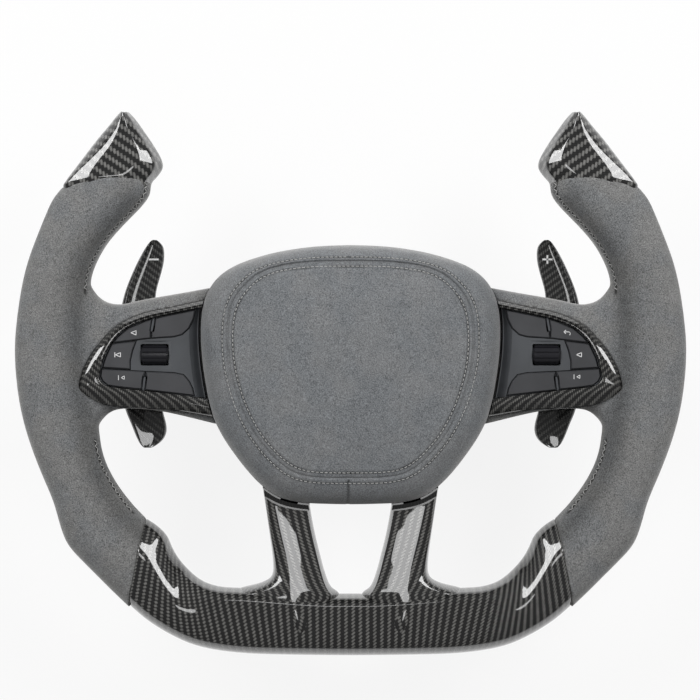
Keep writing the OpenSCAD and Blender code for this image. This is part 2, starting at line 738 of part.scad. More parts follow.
// Left shift paddle: a lipped carbon blade on a hinge arm
module paddle() {
    front = pivot_y - 2.4;
    color(carbon)
        difference() {
            union() {
                loft([
                    for (st = blade_stations) let (w = st[2] - st[1]) [
                        [st[1], front - 0.6, st[0]],
                        [st[1] + 0.1 * w, front - 2.2, st[0]],
                        [st[1] + 0.24 * w, front - 1.9, st[0]],
                        [st[1] + 0.34 * w, front - 0.5, st[0]],
                        [st[1] + 0.9 * w, front, st[0]],
                        [st[2], front + blade_t / 2, st[0]],
                        [st[1] + 0.86 * w, front + blade_t, st[0]],
                        [st[1] + 0.12 * w, front + blade_t, st[0]]
                    ]
                ]);
                slab(front + 0.3, front + blade_t - 0.3)
                    polygon([
                        [-pivot_x, -9], [-80, -9], [-98, -12], [-108, -24], [-118, -24], [-118, 24],
                        [-110, 24], [-98, 6], [-80, 2], [-pivot_x, 1]
                    ]);
                translate([-pivot_x, pivot_y, -ear_z + 0.2])
                    cylinder(r = 4.5, h = ear_z + 1.6);
            }
            translate([-pivot_x, pivot_y, -20])
                cylinder(r = pin_r + pin_clear, h = 40);
        }
}

module paddle_pin() {
    color(steel)
        translate([-pivot_x, pivot_y, -ear_z - ear_t - 1])
            union() {
                cylinder(r = pin_r, h = 2 * (ear_z + ear_t) + 1);
                cylinder(r = 3.2, h = 1);
            }
}

module paddle_bracket() {
    color(steel)
        difference() {
            union() {
                slab(plate_back, plate_back + 2.5)
                    polygon([[-34, -13.4], [-34, 13.4], [-50, 13.4], [-50, -13.4]]);
                for (z = [ear_z, -ear_z - ear_t])
                    translate([0, 0, z])
                        linear_extrude(ear_t)
                            polygon([
                                [-34, plate_back], [-63, plate_back + 0.6], [-63, pivot_y + 5],
                                [-55, pivot_y + 5.5], [-46, plate_back + 2.5], [-34, plate_back + 2.5]
                            ]);
            }
            translate([-pivot_x, pivot_y, -20])
                cylinder(r = pin_r, h = 40);
            rod([-42, 6], 1.6, -50, 0);
            rod([-42, -6], 1.6, -50, 0);
        }
}

// Round wire wound along Z, with a number of turns of mean radius r
module coil(r, wire, turns, height) {
    steps = 7;
    sides = 5;
    count = turns * steps;
    loft([
        for (k = [0 : count]) let (a = 360 * k / steps, z = height * k / count) [
            for (i = [0 : sides - 1]) let (
                b = -360 * i / sides,
                d = r + wire * cos(b))
                [d * cos(a), d * sin(a), z + wire * sin(b)]
        ]
    ]);
}

module paddle_spring() {
    color(steel)
        translate([-pivot_x, pivot_y, 2.6])
            coil(3.3, 0.5, 5, 6.4);
}

module bracket_screws() {
    color(steel)
        for (p = bracket_screw_places) {
            rod(p, 1.5, -46, plate_back + 2.5);
            rod(p, 3, plate_back + 2.5, plate_back + 4.5);
        }
}

module rear_cover_screws() {
    color(steel)
        for (p = boss_places)
            difference() {
                union() {
                    rod(p, 2, -28, back_wall);
                    rod(p, 4.2, back_wall, back_wall + 2.6);
                }
                slab(back_wall + 1.4, back_wall + 3)
                    translate(p)
                        circle(r = 2, $fn = 6);
            }
}

function tapered(outline, k) = [for (p = outline) [p[0] * k, -10 + (p[1] + 10) * k]];

// Moulded cover behind the hub, with side slots for the paddles
module rear_cover() {
    front = arm_back + 0.3;
    color(black_plastic)
        difference() {
            loft([
                at_y(shrunk(cover_outline, 5), -57.4),
                at_y(shrunk(cover_outline, 5), -38),
                at_y(shrunk(cover_outline, 8), -28),
                at_y(tapered(cover_outline, 0.78), -18),
                at_y(tapered(cover_outline, 0.68), back_wall)
            ]);
            loft([
                at_y(shrunk(inner_outline, 7.5), -58),
                at_y(shrunk(inner_outline, 7.5), -39),
                at_y(shrunk(inner_outline, 10.5), -30),
                at_y(tapered(inner_outline, 0.73), -21),
                at_y(tapered(inner_outline, 0.64), back_wall - back_wall_t)
            ]);
            rod([0, 0], 24, -30, 0);
            rod([0, 0], 30.5, back_wall - 1, 0);
            for (p = boss_places)
                rod(p, 2.3, -20, 0);
            for (side = [-1, 1]) {
                translate([side * 75 - 25, -60, -46])
                    cube([50, front + 60, 88]);
                translate([side * 34 - 20, -60, -100])
                    cube([40, front + 60, 44]);
                translate([side * 70 - 20, pivot_y, -3])
                    rotate([90, 0, 90])
                        linear_extrude(40)
                            offset(r = 3)
                                square([10, 16], center = true);
            }
        }
}

// Padded airbag cover: a crowned panel inside a seam, and a rolled skirt
module airbag_cover() {
    color(suede)
        difference() {
            loft([
                at_y(shrunk(cover_outline, 0.8), skirt_y),
                at_y(cover_outline, -66.5),
                at_y(shrunk(cover_outline, 0.5), -72),
                at_y(blend(cover_outline, seam_outline, 0.22), -78.4),
                at_y(blend(cover_outline, seam_outline, 0.52), -82.8),
                at_y(blend(cover_outline, seam_outline, 0.84), -85.4),
                at_y(shrunk(seam_outline, -1), seam_y + 0.1),
                at_y(seam_outline, seam_y + 0.8),
                at_y(shrunk(seam_outline, 1), seam_y - 0.2),
                at_y(seam_outline * 0.75, blend(seam_y, cover_top, 0.55)),
                at_y(seam_outline * 0.35, cover_top)
            ]);
            slab(can_front, skirt_y + 1)
                polygon(shrunk(inner_outline, 3.6));
            loft([
                at_y(shrunk(inner_outline, 8), can_front + 0.5),
                at_y(inner_seam, -76),
                at_y(inner_seam * 0.93, -82)
            ]);
        }
}

module can_outline(w, h, r) {
    translate([0, -9])
        offset(r = r)
            square([w - 2 * r, h - 2 * r], center = true);
}

// Pressed steel tray that carries the cushion, the inflator and the cover
module airbag_can() {
    color(steel)
        difference() {
            union() {
                slab(can_front, can_back)
                    polygon(shrunk(inner_outline, 3.8));
                slab(-71, can_front + 0.5)
                    can_outline(100, 84, 12);
            }
            slab(-72, can_front)
                can_outline(97, 81, 10.5);
            rod([0, -9], 20, -80, 0);
        }
}

module airbag_cushion() {
    color("white")
        difference() {
            slab(-80.5, can_front)
                can_outline(94, 78, 12);
            rod([0, -9], 29, -78.5, -50);
        }
}

module inflator() {
    color(steel)
        union() {
            rod([0, -9], 28, -78, can_front - 1.5);
            rod([0, -9], 28.8, can_front - 1.5, can_front);
            rod([0, -9], 19.8, can_front - 1, -58);
        }
}

module horn_springs() {
    color(steel)
        for (p = pin_places)
            translate([p[0], -60.7, p[1]])
                rotate([-90, 0, 0])
                    coil(5.2, 0.8, 4, 7.9);
}

// Contact strip on the core, with three studs that the tray closes on
module horn_contact_plate() {
    color("goldenrod")
        union() {
            slab(-53, plate_front)
                polygon([[-28, 33], [28, 33], [28, 40], [-28, 40]]);
            for (x = [-22, 0, 22])
                rod([x, 36.5], 2.5, can_back + horn_travel + 0.3, plate_front - 0.5);
        }
}

// Shoulder pins that hold the airbag module and guide its travel
module guide_pins() {
    color(steel)
        for (p = pin_places) {
            rod(p, 3, can_back, -39.8);
            rod(p, 5, -39.8, -37.4);
        }
}

armature();
hub_boss();
grip();  // left_grip
mirror([1, 0, 0]) grip();  // right_grip
tip_cap();  // left_tip_cap
mirror([1, 0, 0]) tip_cap();  // right_tip_cap
lower_rim_shell();
rear_cover();
rear_cover_screws();
pod_bezel();  // left_pod_bezel
mirror([1, 0, 0]) pod_bezel();  // right_pod_bezel
switch_housing();  // left_switch_housing
mirror([1, 0, 0]) switch_housing();  // right_switch_housing
switch_board();  // left_switch_board
mirror([1, 0, 0]) switch_board();  // right_switch_board
button(0);  // left_upper_outer_button
button(1);  // left_upper_inner_button
button(2);  // left_middle_button
button(3);  // left_lower_outer_button
button(4);  // left_lower_inner_button
mirror([1, 0, 0]) button(0);  // right_upper_outer_button
mirror([1, 0, 0]) button(1);  // right_upper_inner_button
mirror([1, 0, 0]) button(2);  // right_middle_button
mirror([1, 0, 0]) button(3);  // right_lower_outer_button
mirror([1, 0, 0]) button(4);  // right_lower_inner_button
roller();  // left_roller
mirror([1, 0, 0]) roller();  // right_roller
roller_axle();  // left_roller_axle
mirror([1, 0, 0]) roller_axle();  // right_roller_axle
paddle();  // left_paddle
mirror([1, 0, 0]) paddle();  // right_paddle
paddle_bracket();  // left_paddle_bracket
mirror([1, 0, 0]) paddle_bracket();  // right_paddle_bracket
paddle_pin();  // left_paddle_pin
mirror([1, 0, 0]) paddle_pin();  // right_paddle_pin
paddle_spring();  // left_paddle_spring
mirror([1, 0, 0]) paddle_spring();  // right_paddle_spring
bracket_screws();
airbag_cover();
airbag_can();
airbag_cushion();
inflator();
horn_springs();
horn_contact_plate();
guide_pins();
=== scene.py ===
"""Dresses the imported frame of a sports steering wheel: wrapped grips, a padded airbag
cover, lacquered carbon trim, switch pods and shift paddles, with their finishes."""

import logging
import math
from contextlib import contextmanager
from dataclasses import dataclass, field
from enum import Enum
from typing import Any, Callable, Iterator, Sequence

import bmesh
import bpy
import numpy as np
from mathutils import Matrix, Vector
from mathutils.kdtree import KDTree


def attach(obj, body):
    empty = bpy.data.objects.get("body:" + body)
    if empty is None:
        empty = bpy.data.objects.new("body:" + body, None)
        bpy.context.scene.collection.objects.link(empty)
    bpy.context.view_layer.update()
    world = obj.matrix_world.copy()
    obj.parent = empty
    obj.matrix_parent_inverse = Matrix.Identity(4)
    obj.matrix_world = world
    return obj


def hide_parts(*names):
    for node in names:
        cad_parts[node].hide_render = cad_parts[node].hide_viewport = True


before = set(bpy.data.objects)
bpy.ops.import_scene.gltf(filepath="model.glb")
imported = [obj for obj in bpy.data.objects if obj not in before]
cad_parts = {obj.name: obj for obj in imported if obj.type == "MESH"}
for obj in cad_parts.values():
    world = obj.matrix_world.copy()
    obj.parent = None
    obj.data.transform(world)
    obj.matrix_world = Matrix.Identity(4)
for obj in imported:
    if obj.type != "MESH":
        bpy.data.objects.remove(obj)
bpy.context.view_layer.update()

MM = 0.001  # metres in a millimetre
RIM_Y = -60.0  # where the middle of the rim's depth lies
FAR_FRONT = -100.0  # where cutters start, well in front of the wheel
SHARP = 38.0  # angle in degrees past which an edge of the carbon looks sharp
LOG = logging.getLogger("steering_wheel")

Array = np.ndarray
Piece = bpy.types.Object
Points = Sequence[Sequence[float]]
Place = Sequence[float]
Colour = tuple[float, float, float]


class Side(Enum):
    """Side of the wheel, by the sign of its X."""

    LEFT = -1
    RIGHT = 1

    @property
    def label(self) -> str:
        """The side's name, as piece and body names begin."""
        return self.name.lower()

    def place(self, points: Points) -> Array:
        """Points drawn for the left side, flat or in space, moved to this side."""
        points = np.asarray(points)
        return points * np.array([-self.value, 1.0, 1.0][:points.shape[-1]])


# Outlines and sections


def smooth(points: Points, steps: int) -> Array:
    """Smooth open curve through points.

    Args:
        points: Points that the curve passes through.
        steps: Steps between neighbouring points.

    Returns:
        The curve's points, one row each.
    """
    p = np.array(points, float)
    rows = []
    for i in range(len(p) - 1):
        a, b, c, d = p[max(i - 1, 0)], p[i], p[i + 1], p[min(i + 2, len(p) - 1)]
        for t in np.arange(steps) / steps:
            rows.append(
                0.5 * (2 * b + (c - a) * t + (2 * a - 5 * b + 4 * c - d) * t * t
                       + (3 * b - a - 3 * c + d) * t ** 3)
            )
    rows.append(p[-1])
    return np.array(rows)


def both_halves(half: Points, steps: int) -> Array:
    """Closed outline from its right half, which runs from the top to the bottom.

    Args:
        half: Points of the right half.
        steps: Steps between neighbouring points.

    Returns:
        The outline's points.
    """
    right = smooth(half, steps)
    left = right[-2:0:-1] * np.array([-1.0, 1.0])
    return np.vstack([right, left])


def moved_in(outline: Array, distance: float) -> Array:
    """Closed outline moved inwards by a distance, or outwards where it is negative.

    Args:
        outline: The outline, one row a point.
        distance: The distance.

    Returns:
        The new outline, with as many points.
    """
    run = np.roll(outline, -1, 0) - np.roll(outline, 1, 0)
    out = np.column_stack([-run[:, 1], run[:, 0]])
    return outline - out / np.linalg.norm(out, axis=1)[:, None] * distance


def stood(outline: Array, y: float) -> Array:
    """Front-view outline as points in space at one place along the column."""
    return np.column_stack([outline[:, 0], np.full(len(outline), y), outline[:, 1]])


def shares(path: Array, across: Array) -> Array:
    """Share of a section that one millimetre square to a path takes up, at each of its points.

    Args:
        path: Points on the path.
        across: The section's width at each point, as a vector.

    Returns:
        The share at each point.
    """
    run = np.gradient(path, axis=0)
    area = run[:, 0] * across[:, 1] - run[:, 1] * across[:, 0]
    return np.linalg.norm(run, axis=1) / np.abs(area)


def arc_lengths(points: Array) -> Array:
    """Distance along a line of points, from its first point to each."""
    steps = np.linalg.norm(np.diff(points, axis=0), axis=1)
    return np.concatenate([[0.0], np.cumsum(steps)])


def point_at(at: Array | float, lengths: Array, points: Array) -> Array:
    """Places on a line of points, at distances along it."""
    return np.array([np.interp(at, lengths, points[:, c]) for c in range(3)]).T


def squared(turn: Array, power: float) -> Array:
    """A wave such as a sine, made squarer by a power below one."""
    return np.sign(turn) * np.abs(turn) ** power


# Mesh workshop


class Shop:
    """Mesh tools that the sub-assemblies share. Sizes are in millimetres."""

    @staticmethod
    def pick(*objects: Piece) -> None:
        """Selects only these objects, and makes the first one active.

        Args:
            objects: The objects.
        """
        if bpy.context.object and bpy.context.object.mode != "OBJECT":
            bpy.ops.object.mode_set(mode="OBJECT")
        bpy.ops.object.select_all(action="DESELECT")
        for item in objects:
            item.select_set(True)
        bpy.context.view_layer.objects.active = objects[0]

    @staticmethod
    def rename(piece: Piece, name: str) -> Piece:
        """Names a piece and its mesh alike.

        Args:
            piece: The piece.
            name: Its new name.

        Returns:
            The piece.
        """
        piece.name = name
        piece.data.name = name
        return piece

    @staticmethod
    def modify(piece: Piece, kind: str, **settings: Any) -> None:
        """Adds a modifier with its settings, and applies it.

        Args:
            piece: The piece.
            kind: The modifier's type.
            settings: The modifier's own settings.
        """
        Shop.pick(piece)
        modifier = piece.modifiers.new(kind.lower(), kind)
        for key, value in settings.items():
            setattr(modifier, key, value)
        bpy.ops.object.modifier_apply(modifier=modifier.name)

    @staticmethod
    @contextmanager
    def editing(piece: Piece, action: str = "SELECT") -> Iterator[None]:
        """Edit mode on a piece, with all of it selected, or none.

        Args:
            piece: The piece.
            action: What select_all does at the start.

        Yields:
            Nothing, while the mode lasts.
        """
        Shop.pick(piece)
        bpy.ops.object.mode_set(mode="EDIT")
        bpy.ops.mesh.select_all(action=action)
        yield
        bpy.ops.object.mode_set(mode="OBJECT")

    @staticmethod
    def remesh(piece: Piece, voxel: float, passes: int) -> None:
        """Turns a piece into an even skin, then relaxes it.

        Args:
            piece: The piece.
            voxel: Size of the skin's faces.
            passes: How often the skin is relaxed.
        """
        Shop.modify(piece, "REMESH", mode="VOXEL", voxel_size=voxel * MM, use_smooth_shade=True)
        if passes:
            Shop.modify(piece, "SMOOTH", factor=0.5, iterations=passes)

    @staticmethod
    def cut(piece: Piece, cutter: Piece) -> None:
        """Takes the cutter's shape out of a piece, and deletes the cutter."""
        Shop.modify(piece, "BOOLEAN", operation="DIFFERENCE", solver="EXACT", object=cutter)
        bpy.data.objects.remove(cutter)

    @staticmethod
    def join(name: str, *pieces: Piece) -> Piece:
        """Joins pieces into the first one, under a new name.

        Args:
            name: The new name.
            pieces: The pieces, in order.

        Returns:
            The joined piece.
        """
        Shop.pick(*pieces)
        if len(pieces) > 1:
            bpy.ops.object.join()
        return Shop.rename(pieces[0], name)

    @staticmethod
    def shade(piece: Piece, degrees: float) -> None:
        """Shades a piece smooth, apart from edges sharper than an angle."""
        Shop.pick(piece)
        bpy.ops.object.shade_smooth_by_angle(angle=math.radians(degrees))

    @staticmethod
    def slab(name: str, outline: Array, front: float, back: float) -> Piece:
        """Solid of one front-view outline between two places along the column.

        Args:
            name: The new piece's name.
            outline: Closed outline, one row a point.
            front: Where its driver's side lies, in Y.
            back: Where its far side lies, in Y.

        Returns:
            The new piece.
        """
        bpy.ops.mesh.primitive_circle_add(vertices=len(outline), fill_type="NGON", radius=1)
        piece = Shop.rename(bpy.context.object, name)
        piece.data.vertices.foreach_set("co", (stood(outline, back) * MM).ravel())
        with Shop.editing(piece):
            bpy.ops.mesh.extrude_region_move(
                TRANSFORM_OT_translate={"value": (0, (front - back) * MM, 0)}
            )
            bpy.ops.mesh.select_all(action="SELECT")
            bpy.ops.mesh.normals_make_consistent(inside=False)
        return piece

    @staticmethod
    def rod(name: str, centre: Place, radius: float, reach: float) -> Piece:
        """Upright round bar centred on a point, with softened ends.

        Args:
            name: The new piece's name.
            centre: Its middle.
            radius: Its radius.
            reach: Its length.

        Returns:
            The new piece.
        """
        bpy.ops.mesh.primitive_cylinder_add(
            vertices=32, radius=radius * MM, depth=reach * MM, location=[c * MM for c in centre]
        )
        piece = Shop.rename(bpy.context.object, name)
        bpy.ops.object.transform_apply(location=True, rotation=True, scale=True)
        Shop.modify(piece, "BEVEL", width=0.3 * MM, segments=2, limit_method="ANGLE")
        return piece

    @staticmethod
    def press(piece: Piece, path: Array, depth: float, width: float, mark: str = "groove") -> None:
        """Presses a soft groove into a skin along a path, and marks it for the finish to darken
        with painted shade.

        Args:
            piece: The skin.
            path: Points along the groove, in millimetres.
            depth: How far the middle of the groove sinks.
            width: Half the groove's width.
            mark: Name of the attribute that marks it.
        """
        tree = KDTree(len(path))
        for i, p in enumerate(path):
            tree.insert(Vector(p) * MM, i)
        tree.balance()
        mesh = piece.data
        layer = mesh.attributes.get(mark) or mesh.attributes.new(mark, "FLOAT", "POINT")
        normals = [v.normal.copy() for v in mesh.vertices]
        for v, normal in zip(mesh.vertices, normals):
            away = tree.find(v.co)[2] / MM
            if away < 4 * width:
                fall = math.exp(-((away / width) ** 2))
                v.co -= normal * (depth * fall * MM)
                layer.data[v.index].value = max(layer.data[v.index].value, fall)

    @staticmethod
    def map_flat(piece: Piece, rise: float = 0.0) -> None:
        """Lays the weave flat over a piece, as seen from the front.

        Args:
            piece: The piece.
            rise: How much the map climbs with depth, as on a wall seen from above.
        """
        mesh = piece.data
        while mesh.uv_layers:
            mesh.uv_layers.remove(mesh.uv_layers[0])
        layer = mesh.uv_layers.new(name="weave")
        for loop in mesh.loops:
            x, y, z = mesh.vertices[loop.vertex_index].co
            layer.data[loop.index].uv = (-abs(x), z + rise * (y - RIM_Y * MM))

    @staticmethod
    def settle(piece: Piece, path: Array) -> tuple[Array, Array]:
        """Lays a path on a skin.

        Args:
            piece: The skin.
            path: Points near it, in millimetres.

        Returns:
            The nearest points on the skin, and the skin's normals there.
        """
        spots, normals = [], []
        for p in path:
            _, spot, normal, _ = piece.closest_point_on_mesh(Vector(p) * MM)
            spots.append(np.array(spot) / MM)
            normals.append(np.array(normal))
        return np.array(spots), np.array(normals)


@dataclass
class Skin:
    """Closed skin over rings of points, drawn as a cage and rounded by subdivision.

    Attributes:
        rings: Points in millimetres, by ring, by place round the ring, by axis.
        creases: How sharp the edge line through each ring corner is, by its number.
        level: Subdivision level.
        crisp_ends: How sharp the rims of the two end caps are.
        along: Distance along the skin that each ring's weave starts at.
        swapped: Whether the weave's columns run along the skin, not round it.
    """

    rings: Array
    creases: dict[int, float] = field(default_factory=dict)
    level: int = 2
    crisp_ends: float = 1.0
    along: Array | None = None
    swapped: bool = False

    def build(self, name: str) -> Piece:
        """Makes the skin from a grid, closed round its rings and over its ends.

        Args:
            name: The new piece's name.

        Returns:
            The new piece.
        """
        m, n = self.rings.shape[:2]
        bpy.ops.mesh.primitive_grid_add(x_subdivisions=n, y_subdivisions=m - 1, size=1)
        piece = Shop.rename(bpy.context.object, name)
        mesh = piece.data
        closed = np.concatenate([self.rings, self.rings[:, :1]], axis=1)
        mesh.vertices.foreach_set("co", (closed * MM).ravel())
        self._map_weave(mesh, closed)
        column = mesh.attributes.new("column", "INT", "POINT")
        column.data.foreach_set("value", np.tile(np.arange(n + 1) % n, m))
        mesh.update()
        with Shop.editing(piece):
            bpy.ops.mesh.remove_doubles(threshold=1e-6)
            bpy.ops.mesh.normals_make_consistent(inside=False)
        self._close_ends(piece)
        self._set_creases(mesh)
        mesh.attributes.remove(mesh.attributes["column"])
        if self.level:
            Shop.modify(piece, "SUBSURF", levels=self.level, render_levels=self.level)
        Shop.shade(piece, 40)
        return piece

    def _map_weave(self, mesh: bpy.types.Mesh, closed: Array) -> None:
        """Lays the weave's map over the grid, at its true size in metres.

        Args:
            mesh: The grid.
            closed: Its points, by ring.
        """
        m, n = closed.shape[:2]
        along = self.along if self.along is not None else arc_lengths(closed.mean(axis=1))
        around = np.array([arc_lengths(ring) for ring in closed])
        around -= around.mean(axis=1, keepdims=True)
        axes = [np.repeat(along[:, None], n, 1), around]
        places = np.stack(axes[::-1] if self.swapped else axes, axis=2).reshape(-1, 2) * MM
        layer = mesh.uv_layers[0]
        layer.name = "weave"
        corners = np.zeros(len(mesh.loops), np.int32)
        mesh.loops.foreach_get("vertex_index", corners)
        layer.data.foreach_set("uv", places[corners].ravel())

    def _close_ends(self, piece: Piece) -> None:
        """Fills the two open ends.

        Args:
            piece: The skin.
        """
        with Shop.editing(piece, "DESELECT"):
            bpy.ops.mesh.select_mode(type="EDGE")
            bpy.ops.mesh.select_non_manifold()
            bpy.ops.mesh.edge_face_add()
            bpy.ops.mesh.select_all(action="SELECT")
            bpy.ops.mesh.normals_make_consistent(inside=False)

    def _set_creases(self, mesh: bpy.types.Mesh) -> None:
        """Sharpens the edge lines that run along the skin, and those round its ends.

        Args:
            mesh: The skin's mesh.
        """
        shape = bmesh.new()
        shape.from_mesh(mesh)
        column = shape.verts.layers.int["column"]
        crease = shape.edges.layers.float.new("crease_edge")
        for edge in shape.edges:
            a, b = (v[column] for v in edge.verts)
            if a == b:
                edge[crease] = self.creases.get(a, 0.0)
            elif any(len(face.verts) > 4 for face in edge.link_faces):
                edge[crease] = self.crisp_ends
        shape.to_mesh(mesh)
        shape.free()


@dataclass(frozen=True)
class Stitch:
    """One kind of sewn stitch, laid again and again along a seam.

    Attributes:
        pitch: Distance from one stitch to the next.
        length: Length of the thread that shows.
        radius: Half the thread's thickness.
        slant: Angle between the thread and the seam, in degrees.
        zigzag: Whether every second stitch slants the other way.
        stray: How far stitches stray from that slant, in degrees.
        beat: Two angles whose steps from stitch to stitch make the straying uneven.
        flat: How flat the thread lies, as its height over its width.
    """

    pitch: float = 2.4
    length: float = 1.8
    radius: float = 0.27
    slant: float = 0.0
    zigzag: bool = False
    stray: float = 0.0
    beat: tuple[float, float] = (12.9898, 4.1414)
    flat: float = 0.7

    def sew(self, path: Array, normals: Array) -> Piece:
        """Sews stitches along a path on a skin.

        Args:
            path: Points on the skin, in millimetres.
            normals: The skin's normals at those points.

        Returns:
            All the stitches as one piece.
        """
        bpy.ops.mesh.primitive_uv_sphere_add(segments=8, ring_count=6, radius=1)
        thread = bpy.context.object
        base = np.array([v.co for v in thread.data.vertices])
        faces = [tuple(p.vertices) for p in thread.data.polygons]
        bpy.data.objects.remove(thread)
        stretch = self.length / 2 - self.radius
        base = base * self.radius
        base[:, 2] += np.sign(np.round(base[:, 2], 4)) * stretch
        base[:, 1] *= self.flat
        lengths = arc_lengths(path)
        verts, polys = [], []
        near = 0.4
        for k in range(int(lengths[-1] / self.pitch)):
            at = (k + 0.5) * self.pitch
            spot = point_at(at, lengths, path)
            run = point_at(at + near, lengths, path) - point_at(at - near, lengths, path)
            up = point_at(at, lengths, normals)
            up /= np.linalg.norm(up)
            run -= up * run.dot(up)
            run /= np.linalg.norm(run)
            across = np.cross(up, run)
            lean = math.radians(self.slant) * (-1 if self.zigzag and k % 2 else 1)
            uneven = math.sin(k * self.beat[0]) * math.cos(k * self.beat[1])
            lean += math.radians(self.stray) * uneven
            ahead = run * math.cos(lean) + across * math.sin(lean)
            turn = np.column_stack([np.cross(up, ahead), up, ahead])
            sag = 1 - (base[:, 2] / (self.length / 2)) ** 2
            lifted = base.copy()
            lifted[:, 1] += self.radius * 0.5 * sag
            polys += [tuple(i + len(verts) * len(base) for i in face) for face in faces]
            verts.append(lifted @ turn.T + spot)
        mesh = bpy.data.meshes.new("row")
        mesh.from_pydata((np.vstack(verts) * MM).tolist(), [], polys)
        piece = bpy.data.objects.new("row", mesh)
        bpy.context.scene.collection.objects.link(piece)
        Shop.pick(piece)
        bpy.ops.object.shade_smooth()
        return piece


# Finishes


def maths(kind: str) -> Callable[["Sock", "float | Sock"], "Sock"]:
    """Operator method that stands for one Math node."""
    return lambda value, other: value.op(kind, other)


class Sock:
    """A value in a shader, used in Python expressions."""

    def __init__(self, graph: "Graph", socket: bpy.types.NodeSocket) -> None:
        """Wraps an output socket of a graph."""
        self.graph = graph
        self.socket = socket

    def op(self, kind: str, *others: "float | Sock") -> "Sock":
        """One Math node of this value with others."""
        return self.graph.node("Math", {"operation": kind}, dict(enumerate([self, *others])))

    __add__ = __radd__ = maths("ADD")
    __mul__ = __rmul__ = maths("MULTIPLY")
    __sub__ = maths("SUBTRACT")
    __pow__ = maths("POWER")
    __lt__ = maths("LESS_THAN")

    def __rsub__(self, other: float) -> "Sock":
        """Difference from a number."""
        return self.graph.node("Math", {"operation": "SUBTRACT"}, {0: other, 1: self})

    def ramp(self, low: float, high: float) -> "Sock":
        """Nought below low, one above high, and smooth between them.

        Args:
            low: Where it starts to rise.
            high: Where it ends.

        Returns:
            The ramp's value.
        """
        return self.graph.node(
            "MapRange", {"interpolation_type": "SMOOTHSTEP"},
            {"Value": self, "From Min": low, "From Max": high},
        )


class Graph:
    """Node graph of one material, with its surface shader."""

    def __init__(self, name: str) -> None:
        """Starts a material with an empty surface shader.

        Args:
            name: The material's name.
        """
        self.material = bpy.data.materials.new(name)
        self.material.use_nodes = True
        self.nodes = self.material.node_tree.nodes
        self.links = self.material.node_tree.links
        self.surface = self.nodes["Principled BSDF"]

    def node(
        self, kind: str, settings: dict[str, Any] | None = None,
        inputs: dict[str | int, Any] | None = None, out: str | int = 0,
    ) -> Sock:
        """Adds a node.

        Args:
            kind: The node's type, without ShaderNode in front.
            settings: Its own settings.
            inputs: Numbers, colours or values for its sockets.
            out: The output that is wanted.

        Returns:
            That output.
        """
        node = self.nodes.new("ShaderNode" + kind)
        for key, value in (settings or {}).items():
            setattr(node, key, value)
        usable = [s for s in node.inputs if s.enabled]
        for key, value in (inputs or {}).items():
            socket = usable[key] if isinstance(key, int) else next(
                s for s in usable if s.name == key
            )
            self.set(socket, value)
        shown = [s for s in node.outputs if s.enabled]
        return Sock(self, shown[out] if isinstance(out, int) else node.outputs[out])

    def set(self, socket: bpy.types.NodeSocket, value: Any) -> None:
        """Gives a socket a link, a number or a colour.

        Args:
            socket: The socket.
            value: What it gets.
        """
        if isinstance(value, Sock):
            self.links.new(value.socket, socket)
        elif isinstance(value, (int, float)):
            socket.default_value = value
        else:
            wide = len(socket.default_value) == 4 and len(value) == 3
            socket.default_value = (*value, 1.0) if wide else tuple(value)

    def finish(self, **inputs: Any) -> bpy.types.Material:
        """Fills the surface shader's sockets, named with _ for a space, and ends.

        Args:
            inputs: Value for each socket.

        Returns:
            The material.
        """
        for key, value in inputs.items():
            self.set(self.surface.inputs[key.replace("_", " ")], value)
        return self.material

    def place(self, scale: float = 1.0) -> Sock:
        """Object coordinates in millimetres, times a scale."""
        here = self.node("TexCoord", out="Object")
        return self.node("VectorMath", {"operation": "SCALE"}, {0: here, "Scale": scale / MM})

    def mapped(self, place: Sock, scale: Place, turn: float = 0.0) -> Sock:
        """Place turned by an angle in degrees, and scaled along each axis."""
        inputs = {"Vector": place, "Rotation": (0, 0, math.radians(turn)), "Scale": scale}
        return self.node("Mapping", None, inputs)

    def split(self, place: Sock, axes: str) -> list[Sock]:
        """Some of the three coordinates of a place."""
        return [self.node("SeparateXYZ", None, {0: place}, out=axis) for axis in axes]

    def noise(self, place: Sock, scale: float, detail: float = 2.0, rough: float = 0.5) -> Sock:
        """Noise from nought to one, with a number of specks for each unit of place.

        Args:
            place: Where it is read.
            scale: Specks for each unit.
            detail: Octaves of finer noise.
            rough: Weight of the finer noise.

        Returns:
            The noise.
        """
        return self.node(
            "TexNoise", None,
            {"Vector": place, "Scale": scale, "Detail": detail, "Roughness": rough},
        )

    def mixed(self, factor: "float | Sock", low: Any, high: Any, kind: str = "MIX") -> Sock:
        """Colour between low and high, or another blend of the two."""
        settings = {"data_type": "RGBA", "blend_type": kind}
        return self.node("Mix", settings, {"Factor": factor, "A": low, "B": high})

    def bump(self, height: Sock, distance: float, strength: float = 1.0) -> Sock:
        """Normal of a relief that is distance millimetres deep.

        Args:
            height: The relief.
            distance: How deep it is.
            strength: How much of it shows.

        Returns:
            The normal.
        """
        return self.node(
            "Bump", None, {"Height": height, "Distance": distance * MM, "Strength": strength}
        )


def shaded(colour: Colour, factor: float) -> Colour:
    """Colour made darker or lighter by a factor."""
    return tuple(c * factor for c in colour)


